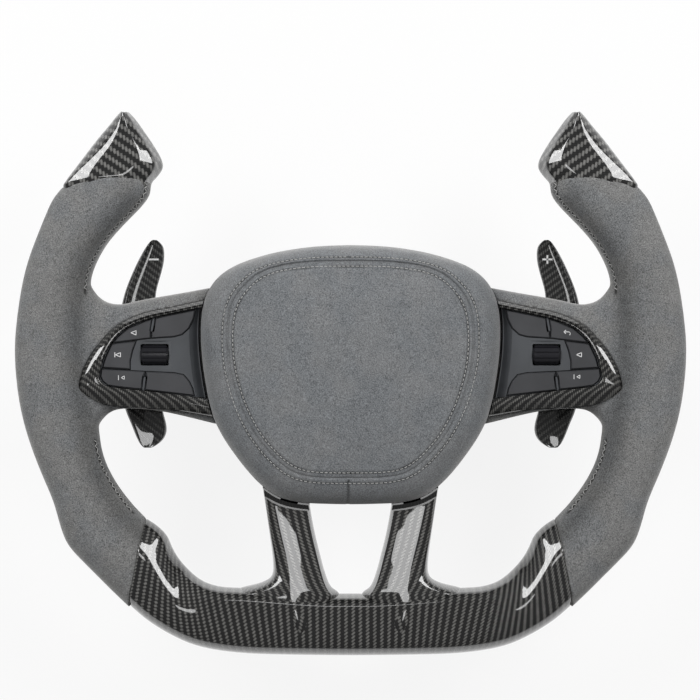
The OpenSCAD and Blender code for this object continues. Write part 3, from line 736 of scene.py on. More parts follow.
@dataclass(frozen=True)
class Suede:
    """Brushed microfibre suede, mottled where its nap lies different ways.

    Attributes:
        colour: Colour where the nap lies one way.
        warm: Colour where it lies the other way.
        fleck: Contrast of the fine speckle.
        nap_mm: Size of a speck.
        shadow: How much painted shade darkens the valley down a grip's front.
    """

    colour: Colour = (0.162, 0.167, 0.171)
    warm: Colour = (0.167, 0.167, 0.165)
    fleck: float = 2.9
    nap_mm: float = 0.62
    shadow: float = 0.42

    def build(self, name: str) -> bpy.types.Material:
        """Makes the material.

        Args:
            name: The material's name.

        Returns:
            The material.
        """
        g = Graph(name)
        here = g.place()
        brushed = g.noise(here, 0.045, 3.0)
        mottle = g.noise(here, 0.22, 3.0, 0.6)
        nap = g.noise(here, 1 / self.nap_mm, 2.0, 0.62)
        hairs = g.noise(g.mapped(here, (1.0, 1.0, 0.5)), 2.6, 2.0, 0.6)
        groove = g.node("Attribute", {"attribute_name": "groove"}, out="Fac")
        valley = g.node("Attribute", {"attribute_name": "valley"}, out="Fac")
        patches = (mottle - 0.5) * 0.45 + (brushed - 0.5) * 0.4
        tone = (nap - 0.5) * self.fleck + patches + (hairs - 0.5) * 0.7 + 1.0
        tint = g.mixed(brushed.ramp(0.38, 0.62), self.colour, self.warm)
        # Painted shade: the suede is darkened along seam and stitch grooves and down the valley of
        # each grip, where shade falls.
        shade = tone.op("MAXIMUM", 0.25) * (1.0 - groove * 0.9) * (1.0 - valley * self.shadow)
        grey = g.node("CombineColor", None, {0: shade, 1: shade, 2: shade})
        colour = g.mixed(1.0, tint, grey, "MULTIPLY")
        relief = nap * 0.9 + hairs * 0.5 + mottle * 0.3
        return g.finish(
            Base_Color=colour, Roughness=0.95, Specular_IOR_Level=0.15,
            Sheen_Weight=0.5, Sheen_Roughness=0.5, Sheen_Tint=(0.95, 0.94, 0.92),
            Normal=g.bump(relief, 0.2, 0.8),
        )


@dataclass(frozen=True)
class Carbon:
    """Twill of carbon tows under a thick clear lacquer.

    Attributes:
        tow: Width of one tow.
        turn: Angle of the tows on the weave's map, in degrees.
        warp_sheen: Painted sheen on the middle of the tows that run one way, the weave's painted
            reflection.
        weft_sheen: Painted sheen on the middle of the tows that run the other way.
        ground: Colour of the black tows where no painted sheen lies, as where they dip under each
            other.
        ends: How quickly a tow's painted sheen fades towards the ends of a float.
        sides: How quickly it fades towards the tow's sides.
        sides: How quickly it darkens towards its sides.
    """

    tow: float = 1.38
    turn: float = 45.0
    warp_sheen: Colour = (0.175, 0.172, 0.164)
    weft_sheen: Colour = (0.014, 0.014, 0.014)
    ground: Colour = (0.003, 0.003, 0.003)
    ends: float = 0.45
    sides: float = 0.9

    def build(self, name: str) -> bpy.types.Material:
        """Makes the material.

        Args:
            name: The material's name.

        Returns:
            The material.
        """
        g = Graph(name)
        place = g.node("UVMap", {"uv_map": "weave"})
        turned = g.mapped(place, (1 / (self.tow * MM),) * 3, self.turn)
        u, v = g.split(turned, "XY")
        fu, fv = u.op("FRACT"), v.op("FRACT")
        phase = (u.op("FLOOR") + v.op("FLOOR")).op("FLOORED_MODULO", 4.0)
        warp_up = phase < 1.5
        along = warp_up * ((phase + fv) * 0.5) + (1.0 - warp_up) * ((phase - 2.0 + fu) * 0.5)
        across = warp_up * fu + (1.0 - warp_up) * fv
        hump = (along * math.pi).op("SINE").op("MAXIMUM", 0.0)
        crown = (across * math.pi).op("SINE").op("MAXIMUM", 0.0)
        fibre_u = g.noise(g.mapped(turned, (8.0, 0.5, 1.0)), 1.0)
        fibre_v = g.noise(g.mapped(turned, (0.5, 8.0, 1.0)), 1.0)
        fibre = warp_up * fibre_u + (1.0 - warp_up) * fibre_v
        uneven = g.noise(turned, 0.45, 1.0)
        # Painted sheen: each tow float gets a painted highlight along its middle, brighter on the
        # warp than on the weft, for the light the fibres reflect.
        lit = (hump ** self.ends) * (crown ** self.sides)
        lit = lit * (fibre * 0.9 + 0.5) * (uneven * 0.9 + 0.5)
        tone = g.mixed(warp_up, self.weft_sheen, self.warp_sheen)
        return g.finish(
            Base_Color=g.mixed(lit, self.ground, tone), Roughness=0.45, Specular_IOR_Level=0.1,
            Coat_Weight=1.0, Coat_Roughness=0.03, Coat_IOR=1.65,
            Normal=g.bump(hump * crown, 0.06, 0.4),
        )


@dataclass(frozen=True)
class Plastic:
    """Moulded plastic with a fine spark-eroded grain.

    Attributes:
        colour: Its colour.
        rough: Its roughness.
        grain_mm: Size of the grain.
        depth_mm: Depth of the grain.
        worn: How far its tone varies.
    """

    colour: Colour = (0.04, 0.041, 0.045)
    rough: float = 0.42
    grain_mm: float = 0.25
    depth_mm: float = 0.012
    worn: float = 0.12

    def build(self, name: str) -> bpy.types.Material:
        """Makes the material.

        Args:
            name: The material's name.

        Returns:
            The material.
        """
        g = Graph(name)
        here = g.place()
        grain = g.noise(here, 1 / self.grain_mm, 3.0, 0.6)
        cloud = g.noise(here, 0.06, 3.0)
        deep, light = shaded(self.colour, 1 - self.worn), shaded(self.colour, 1 + self.worn)
        return g.finish(
            Base_Color=g.mixed(cloud.ramp(0.3, 0.7), deep, light),
            Roughness=grain * 0.12 + cloud * 0.08 + (self.rough - 0.1),
            Normal=g.bump(grain, self.depth_mm, 0.6),
        )


@dataclass(frozen=True)
class Metal:
    """Bare metal, cast or drawn, with the streaks its making leaves.

    Attributes:
        colour: Its colour.
        rough: Its roughness.
        streak: How the grain is squeezed along each axis.
        grain_mm: Size of the grain.
        depth_mm: Depth of the grain.
    """

    colour: Colour = (0.55, 0.56, 0.58)
    rough: float = 0.38
    streak: tuple[float, float, float] = (1.0, 1.0, 1.0)
    grain_mm: float = 0.8
    depth_mm: float = 0.02

    def build(self, name: str) -> bpy.types.Material:
        """Makes the material.

        Args:
            name: The material's name.

        Returns:
            The material.
        """
        g = Graph(name)
        here = g.place()
        grain = g.noise(g.mapped(here, self.streak), 1 / self.grain_mm, 3.0, 0.6)
        cloud = g.noise(here, 0.05, 2.0)
        dull = shaded(self.colour, 0.82)
        return g.finish(
            Base_Color=g.mixed(grain * 0.6 + cloud * 0.4, dull, self.colour), Metallic=1.0,
            Roughness=grain * 0.16 + (self.rough - 0.08), Normal=g.bump(grain, self.depth_mm, 0.5),
        )


@dataclass(frozen=True)
class Woven:
    """Close plain weave of fine yarn, as of thread, a folded bag or a circuit board's cloth.

    Attributes:
        colour: Its colour.
        yarn_mm: Width of two yarns.
        rough: Its roughness.
        depth_mm: Depth of the weave.
    """

    colour: Colour = (0.62, 0.62, 0.60)
    yarn_mm: float = 0.45
    rough: float = 0.85
    depth_mm: float = 0.05

    def build(self, name: str) -> bpy.types.Material:
        """Makes the material.

        Args:
            name: The material's name.

        Returns:
            The material.
        """
        g = Graph(name)
        here = g.place(2 * math.pi / self.yarn_mm)
        across, up = (part.op("SINE") for part in g.split(here, "XZ"))
        weave = across * up * 0.5 + 0.5
        fuzz = g.noise(g.place(), 2.4, 3.0)
        dark = shaded(self.colour, 0.7)
        return g.finish(
            Base_Color=g.mixed(weave * 0.6 + fuzz * 0.4, dark, self.colour),
            Roughness=self.rough, Normal=g.bump(weave, self.depth_mm, 0.5),
        )


class Finish(Enum):
    """Every finish on the wheel, by the record's material slot that it stands for."""

    SUEDE = ("suede", Suede())
    PANEL = ("suede", Suede((0.163, 0.172, 0.181), (0.168, 0.173, 0.178), 2.4))
    CARBON = ("carbon", Carbon())
    # The carbons differ in tow and angle, and in the strength of their painted sheen, which is set
    # brightest on the tip caps that face the lamps.
    POD_CARBON = ("carbon", Carbon(tow=1.0, turn=-8.0, warp_sheen=(0.15, 0.148, 0.14)))
    TIP_CARBON = ("carbon", Carbon(1.62, -11.0, (0.2, 0.198, 0.19), ends=0.3, sides=0.6))
    PADDLE_CARBON = ("carbon", Carbon(tow=1.1, turn=-8.0, warp_sheen=(0.11, 0.11, 0.105)))
    POD_PLASTIC = ("pod_plastic", Plastic(colour=(0.052, 0.056, 0.062), rough=0.5))
    BUTTON_PLASTIC = ("button_plastic", Plastic())
    ROLLER_PLASTIC = ("roller_plastic", Plastic(colour=(0.014, 0.014, 0.017), rough=0.16))
    BACK_PLASTIC = ("back_plastic", Plastic((0.022, 0.022, 0.024), 0.58, 0.9, 0.06))
    CASTING = ("casting", Metal((0.52, 0.53, 0.55), 0.52, grain_mm=1.2, depth_mm=0.06))
    STEEL = ("steel", Metal(streak=(1.0, 6.0, 1.0)))
    DARK_STEEL = ("steel", Metal((0.05, 0.05, 0.055), 0.5))
    SPRING_STEEL = ("spring_steel", Metal((0.33, 0.33, 0.35), 0.3))
    CIRCUIT = ("circuit", Woven((0.03, 0.16, 0.07), 0.8, 0.4, 0.01))
    CUSHION_CLOTH = ("cushion_cloth", Woven((0.72, 0.71, 0.67), 0.7))
    CONTACT_BRASS = ("contact_brass", Metal((0.72, 0.52, 0.24), 0.3))
    THREAD = ("suede", Woven((0.47, 0.47, 0.46), 0.3, 0.8, 0.04))
    PRINT = ("button_plastic", Plastic((0.80, 0.80, 0.80), 0.5, 0.2, 0.004, 0.04))

    @property
    def slot(self) -> str:
        """The record's material slot."""
        return self.value[0]


class Finisher:
    """Makes each finish once, and dresses pieces and CAD nodes in it."""

    def __init__(self) -> None:
        """Starts with nothing made."""
        self.made: dict[Finish, bpy.types.Material] = {}

    def material(self, finish: Finish) -> bpy.types.Material:
        """The finish's material.

        Args:
            finish: The finish.

        Returns:
            Its material.
        """
        if finish not in self.made:
            self.made[finish] = finish.value[1].build(finish.name.lower())
        return self.made[finish]

    def node(self, name: str, finish: Finish) -> None:
        """Dresses a CAD node that stays."""
        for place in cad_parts[name].material_slots:
            place.material = self.material(finish)

    def piece(self, piece: Piece, body: str, finish: Finish, *nodes: str) -> None:
        """Dresses a new piece, ties it to its body, and hides the CAD nodes that it replaces.

        Args:
            piece: The new piece.
            body: The CAD body that it rides on.
            finish: Its finish.
            nodes: CAD nodes that it stands for.
        """
        piece.data.materials.clear()
        piece.data.materials.append(self.material(finish))
        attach(piece, body)
        if nodes:
            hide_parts(*nodes)
        LOG.info("%s: %d faces, rides on %s", piece.name, len(piece.data.polygons), body)


# The wheel

COVER_EDGE = [
    [0, 58.5], [20, 57.6], [38, 55], [52, 51.4], [63, 47.2], [71, 42], [76.5, 35.5], [80, 27.5],
    [81.7, 16], [81.4, 0], [79.2, -17], [75.8, -33], [70.5, -45], [62.5, -57], [54, -67.5],
    [46.5, -74.5], [37.5, -79.8], [26, -82.3], [12, -83], [0, -83.2],
]
COVER_SEAM = [
    [0, 48.8], [18, 48.6], [32, 47.3], [42, 45.2], [50.5, 41.4], [57, 35.8], [62, 29], [65, 21],
    [66.2, 9.5], [65.6, -4], [63, -17], [58.5, -30.5], [52.5, -42.5], [46, -51.5], [38.5, -59.3],
    [31.5, -64.2], [24.5, -66.6], [16, -67.6], [8, -67.8], [0, -67.8],
]
POD_OUTER = [
    [-70, 30.5], [-80.3, 28.2], [-96, 24.8], [-109, 22.3], [-118.5, 19.2], [-127, 15], [-134, 8.3],
    [-140.7, 0], [-145.7, -9], [-148.2, -17.5], [-146.5, -21.8], [-139.5, -26.4], [-130.5, -29.2],
    [-119, -30.2], [-98, -31.4], [-75.3, -35.2], [-70, -36.2],
]
POD_CREST = [
    [-70, 28.8], [-80.5, 26.6], [-96.2, 23.2], [-109.2, 20.6], [-118.2, 17.6], [-126.3, 13.6],
    [-132.9, 7.2], [-139.3, -0.8], [-144.1, -9.5], [-146.6, -17.3], [-145, -20.6], [-138.5, -22.8],
    [-129.5, -24.4], [-118, -25.5], [-97.5, -28.3], [-76.3, -32.7], [-70, -33.8],
]
POD_OPENING = [
    [-70, 26.6], [-82, 24.2], [-99.5, 20.7], [-111.5, 17.7], [-121.5, 13.6], [-127.5, 8.8],
    [-131.8, 3], [-134.8, -3.5], [-136.6, -9.8], [-137.2, -13.5], [-135.8, -16.6], [-132.5, -18.7],
    [-126, -19.7], [-116, -20.8], [-97, -23], [-79.3, -25.3], [-70, -26.4],
]


def grip_ring(
    outer: Array, inner: Array, half: float, square: float, dip: float, count: int
) -> Array:
    """Rounded section from an outer to an inner edge point, with a valley in its front.

    Args:
        outer: Point on the outer edge.
        inner: Point on the inner edge.
        half: Half the section's depth.
        square: Below one for a squarer section.
        dip: Depth of the valley.
        count: Number of points.

    Returns:
        The section's points in space.
    """
    turn = 2 * math.pi * np.arange(count) / count
    u, v = squared(np.cos(turn), square), squared(np.sin(turn), square)
    hollow = np.where(v > 0, dip * v * np.exp(-(((u - 0.35) / 0.34) ** 2)), 0)
    flat = (outer + inner) / 2 + (inner - outer) / 2 * u[:, None]
    return np.column_stack([flat[:, 0], RIM_Y - v * half + hollow, flat[:, 1]])


def top_seam(outer: Place, inner: Place, count: int) -> Array:
    """Bulging seam line between a grip and its tip cap, from outside to inside.

    Args:
        outer: The seam's outer end.
        inner: Its inner end.
        count: Number of points.

    Returns:
        The seam's points.
    """
    u = np.linspace(-1, 1, count)
    line = (np.array(outer) + inner) / 2 + (np.array(inner) - outer) / 2 * u[:, None]
    return line + np.column_stack([u * 0, seam_bulge(u)])


def make_cover_room(piece: Piece, steps: int, inset: float, back: float) -> None:
    """Cuts room for the airbag cover into a piece.

    Args:
        piece: The piece.
        steps: Steps between the points of the cover's outline.
        inset: How far inside the cover's outline the room ends.
        back: Where the room ends, in Y.
    """
    outline = moved_in(both_halves(COVER_EDGE, steps), inset)
    Shop.cut(piece, Shop.slab("cover_room", outline, FAR_FRONT, back))


def seam_bulge(u: Array | float) -> Array | float:
    """How far the top seam bulges upwards, across the grip from -1 outside to 1 inside."""
    return 3.9 * np.clip(1 - u ** 2, 0, 1) * (1 + 0.25 * u)


@dataclass
class Grip:
    """Foam hand grip and spoke arm, wrapped tightly in suede and sewn along its inside.

    Attributes:
        side: Its side.
        outer: Its outer edge, from the top seam down.
        inner: Its inner edge, point for point.
        arms: Sections of the arm, as X, top, bottom, front and back.
        half: Half its depth.
        thinned: How much thinner that is at the top seam.
        thin_share: Share of the grip that thins.
        square: Below one for a squarer section.
        valley: Depth of the hollow down its front.
        voxel: Size of the skin's faces.
        spare: Length that is trimmed off at each end.
        seam_spans: Top and bottom of each length of seam.
        seam_depth: How far the seam is pressed in.
        seam_width: Half the seam's width.
    """

    side: Side
    outer: Points = (
        (-159, 90), (-164, 84), (-168, 75), (-173, 62.5), (-177.5, 50), (-180.5, 38), (-182.5, 26),
        (-184, 14), (-184.8, 2), (-184.2, -12), (-182.5, -26), (-179.5, -40), (-175, -54),
        (-169.5, -68), (-163.5, -82), (-160.2, -94), (-156, -105.5), (-148, -114.5),
        (-139, -123.5), (-130, -132.5), (-121.5, -140.5),
    )
    inner: Points = (
        (-110, 93), (-110, 87), (-115, 80), (-124, 71), (-133, 61), (-139, 51), (-142.5, 42),
        (-143.5, 33), (-144, 15), (-143.5, -8), (-140.5, -28), (-138.5, -42), (-137, -54),
        (-133, -65), (-127, -75), (-121.5, -82), (-118.5, -85.5), (-116, -88),
        (-114.5, -89.7), (-113.3, -90.8), (-112.5, -91.5),
    )
    arms: Points = (
        (-60, 39, -43.5, -68, -46), (-76, 36, -39.6, -68, -46), (-92, 33, -35.6, -68, -46),
        (-105, 30.8, -32.8, -68, -46), (-117, 28.6, -31.5, -68, -46),
        (-125, 26.6, -31.5, -68, -46.4), (-130, 26.6, -32.2, -68, -46.9),
        (-134, 27.6, -34.4, -68.2, -47.5), (-137.5, 29.4, -38.2, -68.5, -48.2),
        (-140.5, 32.6, -42.6, -68.8, -49), (-143.5, 37, -46, -69, -49.6),
        (-148, 40, -48, -69, -50.4), (-154, 36, -42, -67.5, -52), (-160, 28, -34, -65, -54),
    )
    half: float = 15.0
    thinned: float = 2.2
    thin_share: float = 0.22
    square: float = 0.82
    valley: float = 2.6
    voxel: float = 0.85
    spare: float = 4.0
    seam_spans: Points = ((96, 31), (-43, -89))
    seam_depth: float = 0.7
    seam_width: float = 0.9

    def sections(self, count: int) -> Array:
        """Sections of the grip from its top seam down.

        Args:
            count: Points in each section.

        Returns:
            The sections, one after another.
        """
        outer, inner = smooth(self.outer, 2), smooth(self.inner, 2)
        rings = []
        for k in range(len(outer)):
            s = k / (len(outer) - 1)
            half = self.half - self.thinned * max(0.0, 1 - s / self.thin_share) ** 2
            dip = self.valley * math.sin(math.pi * min(1.0, s * 1.04)) ** 2
            rings.append(grip_ring(outer[k], inner[k], half, self.square, dip, count))
        return np.array(rings)

    def arm_sections(self) -> Array:
        """Sections of the spoke arm, from the hub out.

        Returns:
            The sections, one after another.
        """
        count = 24
        turn = 2 * math.pi * np.arange(count) / count
        u, v = squared(np.cos(turn), 0.5), squared(np.sin(turn), 0.6)
        rings = []
        for x, top, bottom, front, back in smooth(self.arms, 2):
            y = front + (back - front) * (1 - v) / 2
            z = bottom + (top - bottom) * (1 + u) / 2
            rings.append(np.column_stack([np.full(count, x), y, z]))
        return np.array(rings)

    def trim(self, piece: Piece, line: Array, away: tuple[float, float]) -> None:
        """Cuts an end of the grip off crisply, along its seam as seen from the front.

        Args:
            piece: The grip.
            line: Points along the seam, from outside to inside.
            away: Direction of what goes, in X and Z.
        """
        beside, beyond = 12, 14
        run = (line[-1] - line[0]) / np.linalg.norm(line[-1] - line[0])
        line = np.vstack([line[:1] - run * beside, line, line[-1:] + run * beside])
        far = line[::-1] + np.array(away) * beyond
        outline = self.side.place(np.vstack([line, far]))
        Shop.cut(piece, Shop.slab("seam", outline, RIM_Y - 2 * self.half, RIM_Y + 2 * self.half))

    def body(self) -> Piece:
        """The padded grip, blended into its arm, with the pockets for the pod and the cover.

        Returns:
            The new piece.
        """
        name = f"{self.side.label}_grip_wrap"
        rings = self.sections(32)
        first, last = (
            step * self.spare / np.linalg.norm(step.mean(axis=0))
            for step in (rings[0] - rings[2], rings[-1] - rings[-3])
        )
        rings = np.concatenate([rings[:1] + first * 1.6, rings, rings[-1:] + last])
        grip = Skin(self.side.place(rings), level=1, crisp_ends=0.75).build(name)
        arm = Skin(self.side.place(self.arm_sections()), level=1).build("arm")
        piece = Shop.join(name, grip, arm)
        Shop.remesh(piece, self.voxel * 1.25, 14)
        self.trim(piece, top_seam(self.outer[0], self.inner[0], 24), (0.0, 1.0))
        self.trim(piece, np.array([self.outer[-1], self.inner[-1]], float), (0.97, -0.2))
        pod = np.vstack([smooth(POD_OUTER, 4), [[-50, -36.2], [-50, 30.5]]])
        pod = self.side.place(moved_in(pod[::-1], -0.1))
        Shop.cut(piece, Shop.slab("pod_pocket", pod, FAR_FRONT, -59))
        make_cover_room(piece, 3, -0.3, -57)
        Shop.remesh(piece, self.voxel, 3)
        return piece

    def seams(self, piece: Piece) -> list[tuple[Array, Array]]:
        """Lays the two lengths of seam on the grip's inner side, and presses them in.

        Args:
            piece: The grip.

        Returns:
            Points and normals along each length.
        """
        sections = self.side.place(self.sections(72))
        column = sections[:, 5]
        height = column[:, 2]
        laid = []
        for top, bottom in self.seam_spans:
            part = column[(height <= top) & (height >= bottom)]
            lengths = arc_lengths(part)
            path = point_at(np.linspace(0, lengths[-1], 220), lengths, part)
            spots, normals = Shop.settle(piece, path)
            # The pressed seam is also darkened with painted shade by the suede.
            Shop.press(piece, spots, self.seam_depth, self.seam_width)
            laid.append((spots, normals))
        # Marks the valley down the grip's front, which the suede darkens with painted shade.
        dark = sections[:, 10][(height < 84) & (height > -96)]
        spots, _ = Shop.settle(piece, dark)
        Shop.press(piece, smooth(spots, 4), 0.0, 7.0, "valley")
        return laid

    def make(self, finisher: Finisher) -> None:
        """Builds and dresses the grip and its stitches.

        Args:
            finisher: What dresses it.
        """
        label = self.side.label
        piece = self.body()
        laid = self.seams(piece)
        finisher.piece(piece, "wheel", Finish.SUEDE, f"{label}_grip")
        stitch = Stitch(pitch=1.7, length=2.5, radius=0.25, slant=55, zigzag=True, stray=16.0)
        rows = [stitch.sew(spots, normals) for spots, normals in laid]
        finisher.piece(Shop.join(f"{label}_grip_stitches", *rows), "wheel", Finish.THREAD)


@dataclass
class AirbagCover:
    """Padded cover: a crowned panel inside a double-sewn seam, and a rolled skirt.

    Attributes:
        top: Where the crown lies, in Y.
        seam: Where the seam lies.
        skirt: Where the skirt ends.
        roll: The skirt's section, as shares of the way from its edge to the seam, and Y.
        groove: The seam's section, as distances inside the seam line, and depths.
        rows_of_stitches: How far inside the seam line each row of stitches lies.
        pull: How far the thread pulls the suede in.
    """

    top: float = -92.0
    seam: float = -86.0
    skirt: float = -60.5
    roll: Points = (
        (0.0, -67.0), (0.03, -72.0), (0.22, -78.4), (0.52, -82.8), (0.84, -85.4), (1.0, -86.0)
    )
    groove: Points = (
        (-1.5, 0.08), (-0.7, 0.25), (-0.28, 0.75), (0, 1.0), (0.28, 0.75), (0.7, 0.2), (1.5, 0)
    )
    rows_of_stitches: tuple[float, float] = (3.0, -3.2)
    pull: float = 0.16

    def rows(self) -> list[Array]:
        """Rings of the skin from inside the skirt's edge, over the front, to the crown.

        Returns:
            The rings, in order.
        """
        edge, seam = both_halves(COVER_EDGE, 5), both_halves(COVER_SEAM, 5)
        rows = [
            stood(moved_in(edge, 9), -62.6), stood(moved_in(edge, 3.4), -62.6),
            stood(moved_in(edge, 3.0), -60.9), stood(moved_in(edge, 1.6), self.skirt),
            stood(moved_in(edge, 0.5), -61.4), stood(edge, -64.5), stood(edge, -67.0),
        ]
        for t, y in smooth(self.roll, 4)[2:-2]:
            rows.append(stood(edge + (seam - edge) * t, y))
        for inset, y in self.groove:
            rows.append(stood(moved_in(seam, inset), self.seam + y))
        for s in (0.94, 0.9, 0.84, 0.76, 0.67, 0.57, 0.46, 0.35, 0.24, 0.13, 0.05):
            rows.append(stood(seam * s, self.seam + (self.top - self.seam) * (1 - s ** 2.5)))
        return rows

    def body(self) -> Piece:
        """The padded skin.

        Returns:
            The new piece.
        """
        piece = Skin(np.array(self.rows()), level=1).build("airbag_cover_wrap")
        # Marks the seam line without pressing it in; the suede paints a dark line of shade there.
        Shop.press(piece, stood(both_halves(COVER_SEAM, 12), self.seam), 0.0, 0.58)
        # A short crease down the middle of the skirt below the seam, pressed in and darkened with
        # painted shade.
        lower = np.array([(-1.0 - 0.02 * k, -86.2 + 0.9 * k, -68.5 - 0.6 * k) for k in range(28)])
        spots, _ = Shop.settle(piece, lower)
        Shop.press(piece, spots, 0.35, 0.7)
        return piece

    def make(self, finisher: Finisher) -> None:
        """Builds and dresses the cover and its stitches.

        Args:
            finisher: What dresses it.
        """
        piece = self.body()
        finisher.piece(piece, "airbag_module", Finish.PANEL, "airbag_cover")
        stitch = Stitch(pitch=2.4, length=1.7, radius=0.25, stray=9.0)
        rows = []
        for inset in self.rows_of_stitches:
            outline = moved_in(both_halves(COVER_SEAM, 10), inset)
            path = stood(np.vstack([outline, outline[:1]]), self.seam)
            spots, normals = Shop.settle(piece, path)
            # The pulled-in dimples are also darkened with painted shade.
            Shop.press(piece, spots, self.pull, 0.6)
            rows.append(stitch.sew(spots, normals))
        finisher.piece(Shop.join("airbag_cover_stitches", *rows), "airbag_module", Finish.THREAD)


@dataclass
class LowerRim:
    """Carbon shell of the lower rim, with two ridged spokes that run up to the hub.

    Attributes:
        outer: The rim's outer edge, from a grip's seam to the middle.
        inner: Its inner edge, point for point.
        crest: Place of the ridge across the rim and its strength, point for point.
        spokes: Sections of a spoke, from the top down, as Z, places in X and in Y.
        half: Half the rim's depth.
        spoke_side: Where a spoke's sides start, in Y.
        spoke_back: Where its back lies.
    """

    outer: Points = (
        (-121.5, -140.5), (-114, -147), (-106, -152.5), (-98, -157), (-90, -160.7), (-82, -163.2),
        (-74, -164.8), (-65, -166), (-55, -166.8), (-45, -167.2), (-30, -167.5), (-14, -167.7),
        (0, -167.8),
    )
    inner: Points = (
        (-112.5, -91.5), (-106.5, -95.5), (-101.5, -100.7), (-98.8, -107), (-95.5, -113),
        (-90, -119.5), (-82.5, -125.7), (-73, -129), (-62, -129.8), (-50, -130.5), (-32, -132),
        (-14, -133), (0, -133),
    )
    crest: Points = (
        (0.73, 1), (0.70, 1), (0.62, 1), (0.58, 1), (0.55, 0.95), (0.56, 0.6), (0.6, 0.25),
        (0.66, 0.05), *(((0.72, 0),) * 5),
    )
    spokes: Points = (
        (-64, -50.4, -49.8, -48.6, -46.6, -44.6, -26.4, -25, -67.4, -63.6, -59),
        (-78, -48.2, -47.7, -47.3, -45, -43.2, -24.8, -23, -68.2, -64.4, -60),
        (-86, -46.9, -46.5, -46.2, -44.2, -41.9, -23.6, -21.8, -68.9, -65.2, -60.8),
        (-94, -45.8, -45.3, -44.9, -42.8, -40.6, -22.2, -20.4, -69.5, -66, -61.6),
        (-103, -44.5, -43.9, -43.3, -41, -38.8, -20.3, -18.5, -70.3, -66.9, -62.6),
        (-112, -43.3, -42.5, -41.5, -38.8, -36.3, -18, -16.2, -71.2, -68.2, -64),
        (-118, -43, -41.8, -40.5, -37.3, -35, -16.5, -14.7, -72, -69.4, -65.6),
        (-121.5, -43.3, -41.6, -40.1, -36.6, -34.3, -15.5, -13.6, -72.49, -70.4, -67.2),
        (-124.5, -44.8, -42.8, -40.1, -36, -33.6, -14.6, -12.6, -72.91, -71.4, -69),
        (-127, -49.2, -45.7, -40.4, -35.5, -33, -13.7, -11.6, -73.26, -72.2, -70.6),
        (-128.8, -54.8, -49.3, -41, -35.1, -32.6, -12.8, -10.6, -73.51, -72.7, -71.2),
        (-130.6, -62.5, -54.6, -41.8, -34.8, -32.3, -11.8, -9, -73.76, -73.1, -71.4),
        (-132.6, -65, -62, -43.4, -34.4, -32, -10.4, -6, -74.04, -73.5, -71),
        (-136, -60, -58, -45, -33.7, -31.4, -13.2, -5, -74.52, -73.8, -70),
        (-143, -50, -48, -41, -31.9, -29.8, -17, -8, -75.4, -73.4, -70),
        (-149, -42, -40, -36.5, -30, -28, -18.6, -12, -76, -73, -70),
        (-156, -36, -34, -32, -28.4, -26, -20.4, -17, -74.2, -72, -70),
    )
    half: float = 15.0
    spoke_side: float = -57.0
    spoke_back: float = -46.6

    @staticmethod
    def section(crest: float, ridged: float, a: float, b: float, c: float) -> Array:
        """One section of the rim, with drafted sides.

        Args:
            crest: Where the ridge lies across the section, from 0 outside to 1 inside.
            ridged: How far the section is ridged, from 0, flat, to 1.
            a: Share of the section that one millimetre takes up at the outer edge.
            b: The same at the crest.
            c: The same at the inner edge.

        Returns:
            Places across, from 0 to 1, and towards the driver, from -1 to 1.
        """
        fall = 0.735 - 0.053 * max(0.0, (1 - 2.6 * c - crest - 3.2 * b) / b)
        side = [(0, -0.2), (1.8 * a, 0.32), (4.1 * a, 0.66), (6.4 * a, 0.88), (8.6 * a, 0.97)]
        flat = np.array([
            (0.38, 1), (0.55, 1), (1 - 9 * c, 1), (1 - 4.2 * c, 1), (1 - 1.6 * c, 0.8),
        ])
        ridge = np.array([
            (crest - 4.5 * b, 0.995), (crest - 1.4 * b, 0.935), (crest + 0.8 * b, 0.845),
            (crest + 3.2 * b, 0.735), (1 - 2.6 * c, fall),
        ])
        back = [(1, -0.2), (0.97, -0.72), (0.8, -0.98), (0.2, -0.98), (0.03, -0.72)]
        return np.vstack([side, flat + (ridge - flat) * ridged, back])

    def rim(self) -> Piece:
        """The rim's skin, from one grip's seam round to the other's.

        Returns:
            The new piece.
        """
        steps = 3
        outer, inner = smooth(self.outer, steps), smooth(self.inner, steps)
        across = inner - outer
        table = smooth(self.crest, steps)
        crest_line = outer + across * table[:, :1]
        spans = [shares(line, across) for line in (outer, crest_line, inner)]
        left = []
        for k, (crest, ridged) in enumerate(table):
            q = self.section(crest, ridged, *(span[k] for span in spans))
            flat = outer[k] + across[k] * q[:, :1]
            left.append(np.column_stack([flat[:, 0], RIM_Y - q[:, 1] * self.half, flat[:, 1]]))
        right = [Side.RIGHT.place(ring) for ring in left[-2::-1]]
        mid = (outer + inner) / 2
        along = arc_lengths(np.vstack([mid, Side.RIGHT.place(mid)[-2::-1]]))
        creases = {3: 0.55, 8: 0.5, 9: 0.6}
        return Skin(np.array(left + right), creases, 2, 0.95, along - along.mean()).build("rim")

    def spoke(self, side: Side) -> Piece:
        """One lower spoke's skin.

        Args:
            side: The spoke's side.

        Returns:
            The new piece.
        """
        rings = []
        for z, outer, corner, first, second, main, inside, inner, *depths in smooth(self.spokes, 2):
            main_y, first_y, side_y = depths
            bow = 0.1 + 0.9 * max(min(1, (z + 98) / 18), min(1, (-z - 130) / 9), 0)
            flat = [
                (outer, self.spoke_side), (corner, side_y), (first, first_y),
                (second, first_y + (main_y - first_y) * 0.7), (main, main_y),
                ((main + inside) / 2, main_y + bow), (inside, main_y + 0.9 + bow),
                (inner, self.spoke_side), (inner - 3, self.spoke_back),
                (outer + 3, self.spoke_back),
            ]
            rings.append([(x, y, z) for x, y in flat])
        creases = {0: 0.3, 1: 0.3, 2: 0.4, 3: 0.4, 4: 0.6, 6: 0.6, 7: 0.3, 8: 0.5, 9: 0.5}
        return Skin(side.place(np.array(rings)), creases, 2, swapped=True).build("spoke")

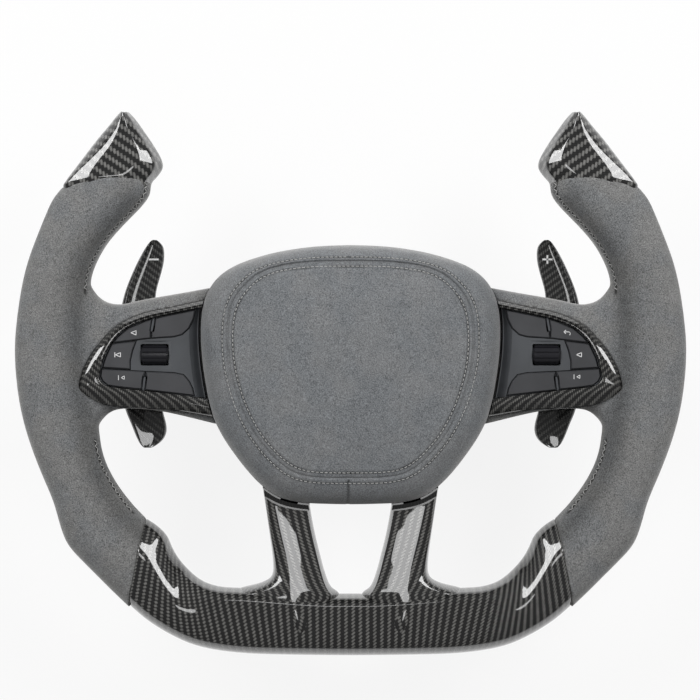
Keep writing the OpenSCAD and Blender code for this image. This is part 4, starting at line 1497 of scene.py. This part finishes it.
    @staticmethod
    def ledge() -> Piece:
        """Room under the cover's edge at the top of the spokes, with a bevelled lip.

        Returns:
            The room, as a solid to cut with.
        """
        edge = both_halves(COVER_EDGE, 4)
        levels = ((9, -73), (5.6, -69.2), (4.4, -68.4), (4.4, -62.5))
        rings = np.array([stood(moved_in(edge, -wider), y) for wider, y in levels])
        return Skin(rings, level=0).build("ledge")

    def make(self, finisher: Finisher) -> None:
        """Builds and dresses the shell.

        Args:
            finisher: What dresses it.
        """
        spokes = [self.spoke(side) for side in Side]
        for spoke in spokes:
            Shop.cut(spoke, self.ledge())
            make_cover_room(spoke, 4, -1.6, -57)
        piece = Shop.join("lower_rim_carbon", self.rim(), *spokes)
        Shop.shade(piece, SHARP)
        finisher.piece(piece, "wheel", Finish.CARBON, "lower_rim_shell")


@dataclass
class TipCap:
    """Faceted carbon cap on a grip's open end.

    Attributes:
        side: Its side.
        outer: Its outer edge, from the seam to the point.
        strip_outer: The outer edge of its bevel, point for point.
        strip_inner: The inner edge of its bevel.
        corner: Edge of its front face.
        side_edge: Edge of its side face.
        inner: Its inner edge.
        thick: Half its depth at the seam.
        front_end: Its depth in front at the point.
        back_end: Its depth behind at the point.
        rise: Slope of the bevel.
    """

    side: Side
    outer: Points = (
        (-159, 90.5), (-156, 95.4), (-152, 101.2), (-147.5, 107.4), (-143, 113.4), (-138, 119.6),
        (-133, 125.2), (-129.2, 129.8), (-126, 132.6),
    )
    strip_outer: Points = (
        (-156, 90.6), (-151, 96.3), (-145, 102.2), (-139.4, 107.8), (-134.4, 112.8), (-130.6, 118),
        (-127.6, 122.8), (-126.2, 127.6), (-125.1, 130.9),
    )
    strip_inner: Points = (
        (-142.6, 91), (-141, 96.8), (-137.6, 103.2), (-133.8, 108.8), (-130.4, 113.2),
        (-127.8, 118.6), (-126.2, 123.4), (-125.4, 127.9), (-124.7, 131),
    )
    corner: Points = (
        (-122.5, 92.6), (-118.4, 97.4), (-115.9, 102.8), (-115.8, 107.8), (-117.2, 113),
        (-119.6, 118), (-121.9, 122.8), (-123.2, 127.8), (-123.9, 131),
    )
    side_edge: Points = (
        (-112.4, 93.2), (-108.8, 97.6), (-107.2, 102.6), (-108.6, 107.9), (-112.1, 113.9),
        (-115.4, 119), (-118.6, 124.2), (-121.1, 128.6), (-122.9, 131.6),
    )
    inner: Points = (
        (-110, 93.4), (-106, 97.6), (-103.2, 102.4), (-104.8, 108), (-109, 115), (-112.6, 120.2),
        (-116.4, 125.6), (-119.6, 129.6), (-122.2, 132.2),
    )
    thick: float = 12.6
    front_end: float = 9.0
    back_end: float = 4.0
    rise: float = 0.24

    def make(self, finisher: Finisher) -> None:
        """Builds and dresses the cap.

        Args:
            finisher: What dresses it.
        """
        count = len(self.outer) - 1
        rings = []
        for k in range(count + 1):
            s = k / count
            front = self.thick + (self.front_end - self.thick) * s ** 2.1
            back = self.thick + (self.back_end - self.thick) * s ** 1.4
            outer, inner = np.array(self.outer[k], float), np.array(self.inner[k], float)
            strip = [np.array(line[k], float) for line in (self.strip_outer, self.strip_inner)]
            strip_low = 0.99 - self.rise * np.linalg.norm(strip[1] - strip[0]) / front
            edges = [
                (outer, -0.1), (outer + (strip[0] - outer) * 0.3, 0.58), (strip[0], strip_low),
                (strip[1], 0.99), (self.corner[k], 0.93), (self.side_edge[k], 0.62), (inner, -0.55),
            ] + [
                (outer + (inner - outer) * u, v)
                for u, v in ((0.94, -0.85), (0.7, -1), (0.25, -1), (0.04, -0.7))
            ]
            ring = np.array(
                [(p[0], RIM_Y - v * (front if v > 0 else back), p[1]) for p, v in edges]
            )
            u = 2 * (ring[:, 0] - outer[0]) / (inner[0] - outer[0]) - 1
            ring[:, 2] += seam_bulge(u) * max(0.0, 1 - k / 2.5)
            rings.append(ring)
        shape = smooth(np.array(rings).reshape(count + 1, -1), 2).reshape(-1, 11, 3)
        middle = shape[0].mean(axis=0)
        plug = middle + (shape[0] - middle) * 0.93 - np.array([-1.5, 0, 4.0])
        shape = self.side.place(np.concatenate([plug[None], shape[:1], shape]))
        creases = {2: 0.9, 3: 0.85, 4: 0.7, 5: 0.8, **dict.fromkeys(range(6, 11), 0.4)}
        piece = Skin(shape, creases, 3, 0.85).build(f"{self.side.label}_tip_carbon")
        Shop.map_flat(piece, 0.35)
        finisher.piece(piece, "wheel", Finish.TIP_CARBON, f"{self.side.label}_tip_cap")


def stroke(a: Place, b: Place, width: float) -> Array:
    """Outline of a straight printed stroke between two points.

    Args:
        a: Where it starts.
        b: Where it ends.
        width: Its width.

    Returns:
        The outline's four points.
    """
    a, b = np.array(a, float), np.array(b, float)
    run = (b - a) / np.linalg.norm(b - a)
    side = np.array([-run[1], run[0]]) * width / 2
    a, b = a - run * width * 0.4, b + run * width * 0.4
    return np.array([a - side, b - side, b + side, a + side])


@dataclass(frozen=True)
class Mark:
    """Plain sign printed on a face in thin strokes.

    Attributes:
        lines: Lines of points in millimetres, from the mark's middle.
        width: Width of the strokes.
        proud: How far the print stands out of the face.
        sunk: How far it reaches into it.
    """

    lines: Sequence[Points]
    width: float = 0.36
    proud: float = 0.06
    sunk: float = 0.04

    def print(self, name: str, centre: Place, face: float) -> Piece:
        """Prints the mark on a face that lies at one place along the column.

        Args:
            name: The new piece's name.
            centre: The mark's middle, in X and Z.
            face: Where the face lies, in Y.

        Returns:
            The mark.
        """
        ends = [
            (np.array(a) + centre, np.array(b) + centre)
            for line in self.lines for a, b in zip(line, line[1:])
        ]
        front, back = face - self.proud, face + self.sunk
        bars = [Shop.slab("bar", stroke(a, b, self.width), front, back) for a, b in ends]
        return Shop.join(name, *bars)


TRIANGLE = ((1.5, 1.2), (-1.3, 0), (1.5, -1.2), (1.5, 1.2))
BAR = ((-1.6, 1.2), (-1.6, -1.2))
BACK = Mark((
    ((1.6, -1.2), (1.9, -0.2), (1.3, 0.5), (-1.6, 0.5)), ((-0.6, 1.4), (-1.7, 0.5), (-0.6, -0.4)),
))


@dataclass
class SwitchPod:
    """Carbon trim round a switch pod, with its switches, roller and printed marks.

    Attributes:
        side: Its side.
        names: Its buttons.
        face: Where the buttons' faces lie, in Y.
    """

    side: Side
    names: Sequence[str] = ("upper_outer", "upper_inner", "middle", "lower_outer", "lower_inner")
    face: float = -70.1

    def marks(self) -> dict[str, tuple[Mark, tuple[float, float]]]:
        """The marks by button, with the place of each, drawn for this side.

        Returns:
            Each mark with its place, by its button's name.
        """
        small = tuple((x * 0.6 + 0.7, z * 0.8) for x, z in TRIANGLE)
        left = {
            "upper_outer": (Mark((TRIANGLE,)), (-118.5, 10.5)),
            "middle": (Mark((TRIANGLE, BAR)), (-127.0, -1.5)),
            "lower_outer": (Mark((small, BAR), 0.3), (-125.0, -14.0)),
        }
        right = {
            "upper_outer": (BACK, (-118.0, 10.5)),
            "middle": (Mark((TRIANGLE,)), (-124.5, -1.5)),
            "lower_outer": (left["lower_outer"][0], (-123.5, -13.5)),
        }
        return left if self.side is Side.LEFT else right

    def bezel(self) -> Piece:
        """The carbon trim's skin.

        Returns:
            The new piece.
        """
        outer, crest, opening = (smooth(line, 3) for line in (POD_OUTER, POD_CREST, POD_OPENING))
        run = np.gradient(crest, axis=0)
        inward = np.column_stack([run[:, 1], -run[:, 0]]) / np.linalg.norm(run, axis=1)[:, None]
        inward *= np.sign(((opening - crest) * inward).sum(axis=1))[:, None]
        wide = np.interp(crest[:, 1], [1, 9], [2.4, 0.5])
        room = 0.62 * np.linalg.norm(opening - crest, axis=1)
        ridge = crest + inward * np.minimum(wide, room)[:, None]
        lines = (
            (outer, -59), (outer, -69.4), (crest, -72.0), (ridge, -72.8),
            (opening - inward, -71.6), (opening - 0.5 * inward, -72.0), (opening, -71.5),
            (opening, -59),
        )
        rings = np.stack([stood(line, y) for line, y in lines], axis=1)
        creases = {0: 1.0, 1: 0.7, 2: 0.7, 3: 0.7, 4: 0.5, 6: 0.85, 7: 1.0}
        piece = Skin(self.side.place(rings), creases, 2).build(f"{self.side.label}_pod_carbon")
        make_cover_room(piece, 4, -0.3, -50)
        Shop.map_flat(piece, 0.6)
        Shop.shade(piece, SHARP)
        return piece

    def make(self, finisher: Finisher) -> None:
        """Builds and dresses the pod.

        Args:
            finisher: What dresses it.
        """
        label = self.side.label
        finisher.piece(self.bezel(), "wheel", Finish.POD_CARBON, f"{label}_pod_bezel")
        finisher.node(f"{label}_switch_housing", Finish.POD_PLASTIC)
        finisher.node(f"{label}_switch_board", Finish.CIRCUIT)
        finisher.node(f"{label}_roller", Finish.ROLLER_PLASTIC)
        finisher.node(f"{label}_roller_axle", Finish.DARK_STEEL)
        for name in self.names:
            finisher.node(f"{label}_{name}_button", Finish.BUTTON_PLASTIC)
        for name, (mark, (x, z)) in self.marks().items():
            centre = (-self.side.value * x, z)
            piece = mark.print(f"{label}_{name}_mark", centre, self.face)
            finisher.piece(piece, f"{label}_{name}_button", Finish.PRINT)


@dataclass
class Paddle:
    """Carbon shift paddle: a lipped blade on a hinge arm.

    Attributes:
        side: Its side.
        stations: Sections of the blade, as Z and its edges in X.
        arm: Outline of the hinge arm.
        hinge: The hinge pin's place, in X and Y.
        front: Where the blade's front lies, in Y.
        thick: The blade's thickness.
    """

    side: Side
    stations: Points = (
        (63, -111, -109), (62, -112.8, -107.4), (59.5, -114.8, -105.2), (56, -117, -104.4),
        (50, -120.2, -104.6), (42, -123.8, -106.6), (33, -127.2, -109), (22, -129.6, -109),
        (8, -130.6, -108), (-8, -130.4, -107), (-20, -129.4, -106.4), (-32, -127, -105.2),
        (-40, -123.6, -103), (-45, -121.6, -102.8), (-49, -119.8, -104.6), (-52, -118, -108),
        (-53.8, -116, -111.4),
    )
    arm: Points = (
        (-58, -9), (-80, -9), (-98, -12), (-108, -24), (-118, -24), (-118, 24), (-110, 24),
        (-98, 6), (-80, 2), (-58, 1),
    )
    hinge: tuple[float, float] = (-58, -34)
    front: float = -36.4
    thick: float = 3.4

    def blade(self) -> Piece:
        """The blade's skin.

        Returns:
            The new piece.
        """
        rings = []
        for z, outer, inner in smooth(self.stations, 2):
            low = min(1.0, max(0.0, (-29 - z) / 17))
            w, f = inner - outer, self.front - 0.062 * max(0.0, -26 - z)
            strip, drop = 0.26 + 0.38 * low, 1.2 - 0.6 * low
            rings.append([
                (outer, f - 0.4, z), (outer + 0.06 * w, f - 2, z), (outer + 0.12 * w, f - 2.05, z),
                (outer + strip * w, f - 2.05 + drop, z), (outer + 0.93 * w, f - 2.5 + drop, z),
                (inner, f + self.thick / 2, z),
                (outer + 0.86 * w, f + self.thick, z), (outer + 0.12 * w, f + self.thick, z),
            ])
        creases = {0: 0.4, 1: 0.6, 2: 0.8, 3: 0.85, 4: 0.95, 6: 0.4, 7: 0.4}
        return Skin(self.side.place(np.array(rings)), creases, 2, 0.2).build("blade")

    def make(self, finisher: Finisher) -> None:
        """Builds and dresses the paddle.

        Args:
            finisher: What dresses it.
        """
        label = self.side.label
        finisher.node(f"{label}_paddle", Finish.CARBON)
        for name, finish in (
            ("bracket", Finish.STEEL), ("pin", Finish.STEEL), ("spring", Finish.SPRING_STEEL)
        ):
            finisher.node(f"{label}_paddle_{name}", finish)
        arm = self.side.place(self.arm)
        lever = Shop.slab("lever", arm, self.front + 0.3, self.front + self.thick - 0.3)
        hinge = self.side.place(self.hinge)
        barrel = Shop.rod("barrel", (*hinge, -4.1), 4.5, 11.8)
        Shop.cut(barrel, Shop.rod("hole", (*hinge, 0), 2.05, 40))
        piece = Shop.join(f"{label}_paddle_carbon", self.blade(), lever, barrel)
        Shop.map_flat(piece)
        Shop.shade(piece, SHARP)
        finisher.piece(piece, f"{label}_paddle", Finish.PADDLE_CARBON, f"{label}_paddle")
        dash = ((-2.4, 0.0), (2.4, 0.0))
        lines = (dash,) if self.side is Side.LEFT else (dash, ((0.0, -2.0), (0.0, 2.0)))
        centre = (110.6 * self.side.value, 52)
        sign = Mark(lines, 1.0).print(f"{label}_paddle_mark", centre, self.front - 1.15)
        finisher.piece(sign, f"{label}_paddle", Finish.PRINT)


@dataclass
class Carrier:
    """What carries the rest: the casting, the hub, the rear cover and the airbag module.

    Attributes:
        finishes: Finish of each node.
    """

    finishes: dict[str, Finish] = field(default_factory=lambda: {
        "armature": Finish.CASTING, "hub_boss": Finish.STEEL, "rear_cover": Finish.BACK_PLASTIC,
        "rear_cover_screws": Finish.STEEL, "bracket_screws": Finish.STEEL,
        "airbag_can": Finish.STEEL, "airbag_cushion": Finish.CUSHION_CLOTH,
        "inflator": Finish.STEEL, "horn_springs": Finish.SPRING_STEEL,
        "horn_contact_plate": Finish.CONTACT_BRASS, "guide_pins": Finish.STEEL,
    })

    def make(self, finisher: Finisher) -> None:
        """Dresses the CAD nodes."""
        for name, finish in self.finishes.items():
            finisher.node(name, finish)


@dataclass
class Studio:
    """Camera, lamps and the white sheet behind the wheel.

    Attributes:
        camera_at: Where the camera stands.
        lens: Its focal length.
        sheet_y: Where the sheet hangs.
        lamps: Name, place, size, power and form of each lamp.
    """

    camera_at: tuple[float, float, float] = (-0.0003, -1.160, 0.0011)
    lens: float = 102.75
    sheet_y: float = 0.03
    lamps: Sequence[tuple[str, Place, tuple[float, float], float, str]] = (
        ("left_softbox", (-0.88, -1.06, 0.62), (0.55, 0.75), 13.2, "RECTANGLE"),
        ("right_softbox", (0.88, -1.06, 0.62), (0.55, 0.75), 13.2, "RECTANGLE"),
        ("small_softbox", (-0.055, -1.25, 0.05), (0.27, 0.18), 0.7, "ELLIPSE"),
    )

    def sheet(self) -> None:
        """White sheet behind the wheel, which lets views from behind through."""
        bpy.ops.mesh.primitive_plane_add(
            size=8, location=(0, self.sheet_y, 0), rotation=(math.pi / 2, 0, 0)
        )
        piece = Shop.rename(bpy.context.object, "white_sheet")
        bpy.ops.object.transform_apply(location=True, rotation=True, scale=True)
        g = Graph("white_sheet")
        paper = g.noise(g.place(), 0.02, 2.0)
        tone = g.mixed(paper, (0.86, 0.86, 0.85), (0.88, 0.88, 0.88))
        matt = g.node("BsdfDiffuse", None, {"Color": tone})
        white = g.node("Emission", None, {"Color": (1, 1, 1), "Strength": 1.0})
        rays = {k: g.node("LightPath", out=k) for k in ("Is Camera Ray", "Is Glossy Ray")}
        bright = (rays["Is Camera Ray"] + rays["Is Glossy Ray"]).op("MINIMUM", 1.0)
        lifted = g.node("MixShader", None, {0: bright * 0.87, 1: matt, 2: white})
        clear = g.node("BsdfTransparent")
        facing = g.node("NewGeometry", out="Backfacing")
        shown = g.node("MixShader", None, {0: facing, 1: lifted, 2: clear})
        g.links.new(shown.socket, g.nodes["Material Output"].inputs["Surface"])
        piece.data.materials.append(g.material)

    @staticmethod
    def light(
        name: str, place: Place, size: tuple[float, float], power: float, shape: str
    ) -> None:
        """Adds a soft flat lamp that faces the wheel.

        Args:
            name: Its name.
            place: Where it stands, in metres.
            size: Its width and height.
            power: Its power in watts.
            shape: The form of its face.
        """
        bpy.ops.object.light_add(type="AREA", location=place)
        lamp = bpy.context.object
        lamp.name = name
        lamp.data.shape = shape
        lamp.data.size, lamp.data.size_y = size
        lamp.data.energy = power
        aim = Vector((0, -0.06, 0)) - Vector(place)
        lamp.rotation_euler = aim.to_track_quat("-Z", "Y").to_euler()

    def make(self) -> None:
        """Sets up the camera, the light and the sheet."""
        scene = bpy.context.scene
        scene.view_settings.view_transform = "Standard"
        bpy.ops.object.camera_add(location=self.camera_at, rotation=(math.pi / 2, 0, 0))
        camera = bpy.context.object
        camera.data.lens = self.lens
        camera.data.sensor_width = 36
        scene.camera = camera
        self.sheet()
        for lamp in self.lamps:
            self.light(*lamp)
        world = scene.world or bpy.data.worlds.new("room")
        scene.world = world
        world.use_nodes = True
        light = world.node_tree.nodes["Background"].inputs
        light["Color"].default_value = (1, 1, 1, 1)
        light["Strength"].default_value = 0.2


def main() -> None:
    """Builds and dresses the wheel."""
    logging.basicConfig(level=logging.INFO, format="%(message)s")
    Studio().make()
    finisher = Finisher()
    Carrier().make(finisher)
    AirbagCover().make(finisher)
    LowerRim().make(finisher)
    for side in Side:
        Grip(side).make(finisher)
        TipCap(side).make(finisher)
        SwitchPod(side).make(finisher)
        Paddle(side).make(finisher)
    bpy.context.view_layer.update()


if __name__ == "__main__":
    main()
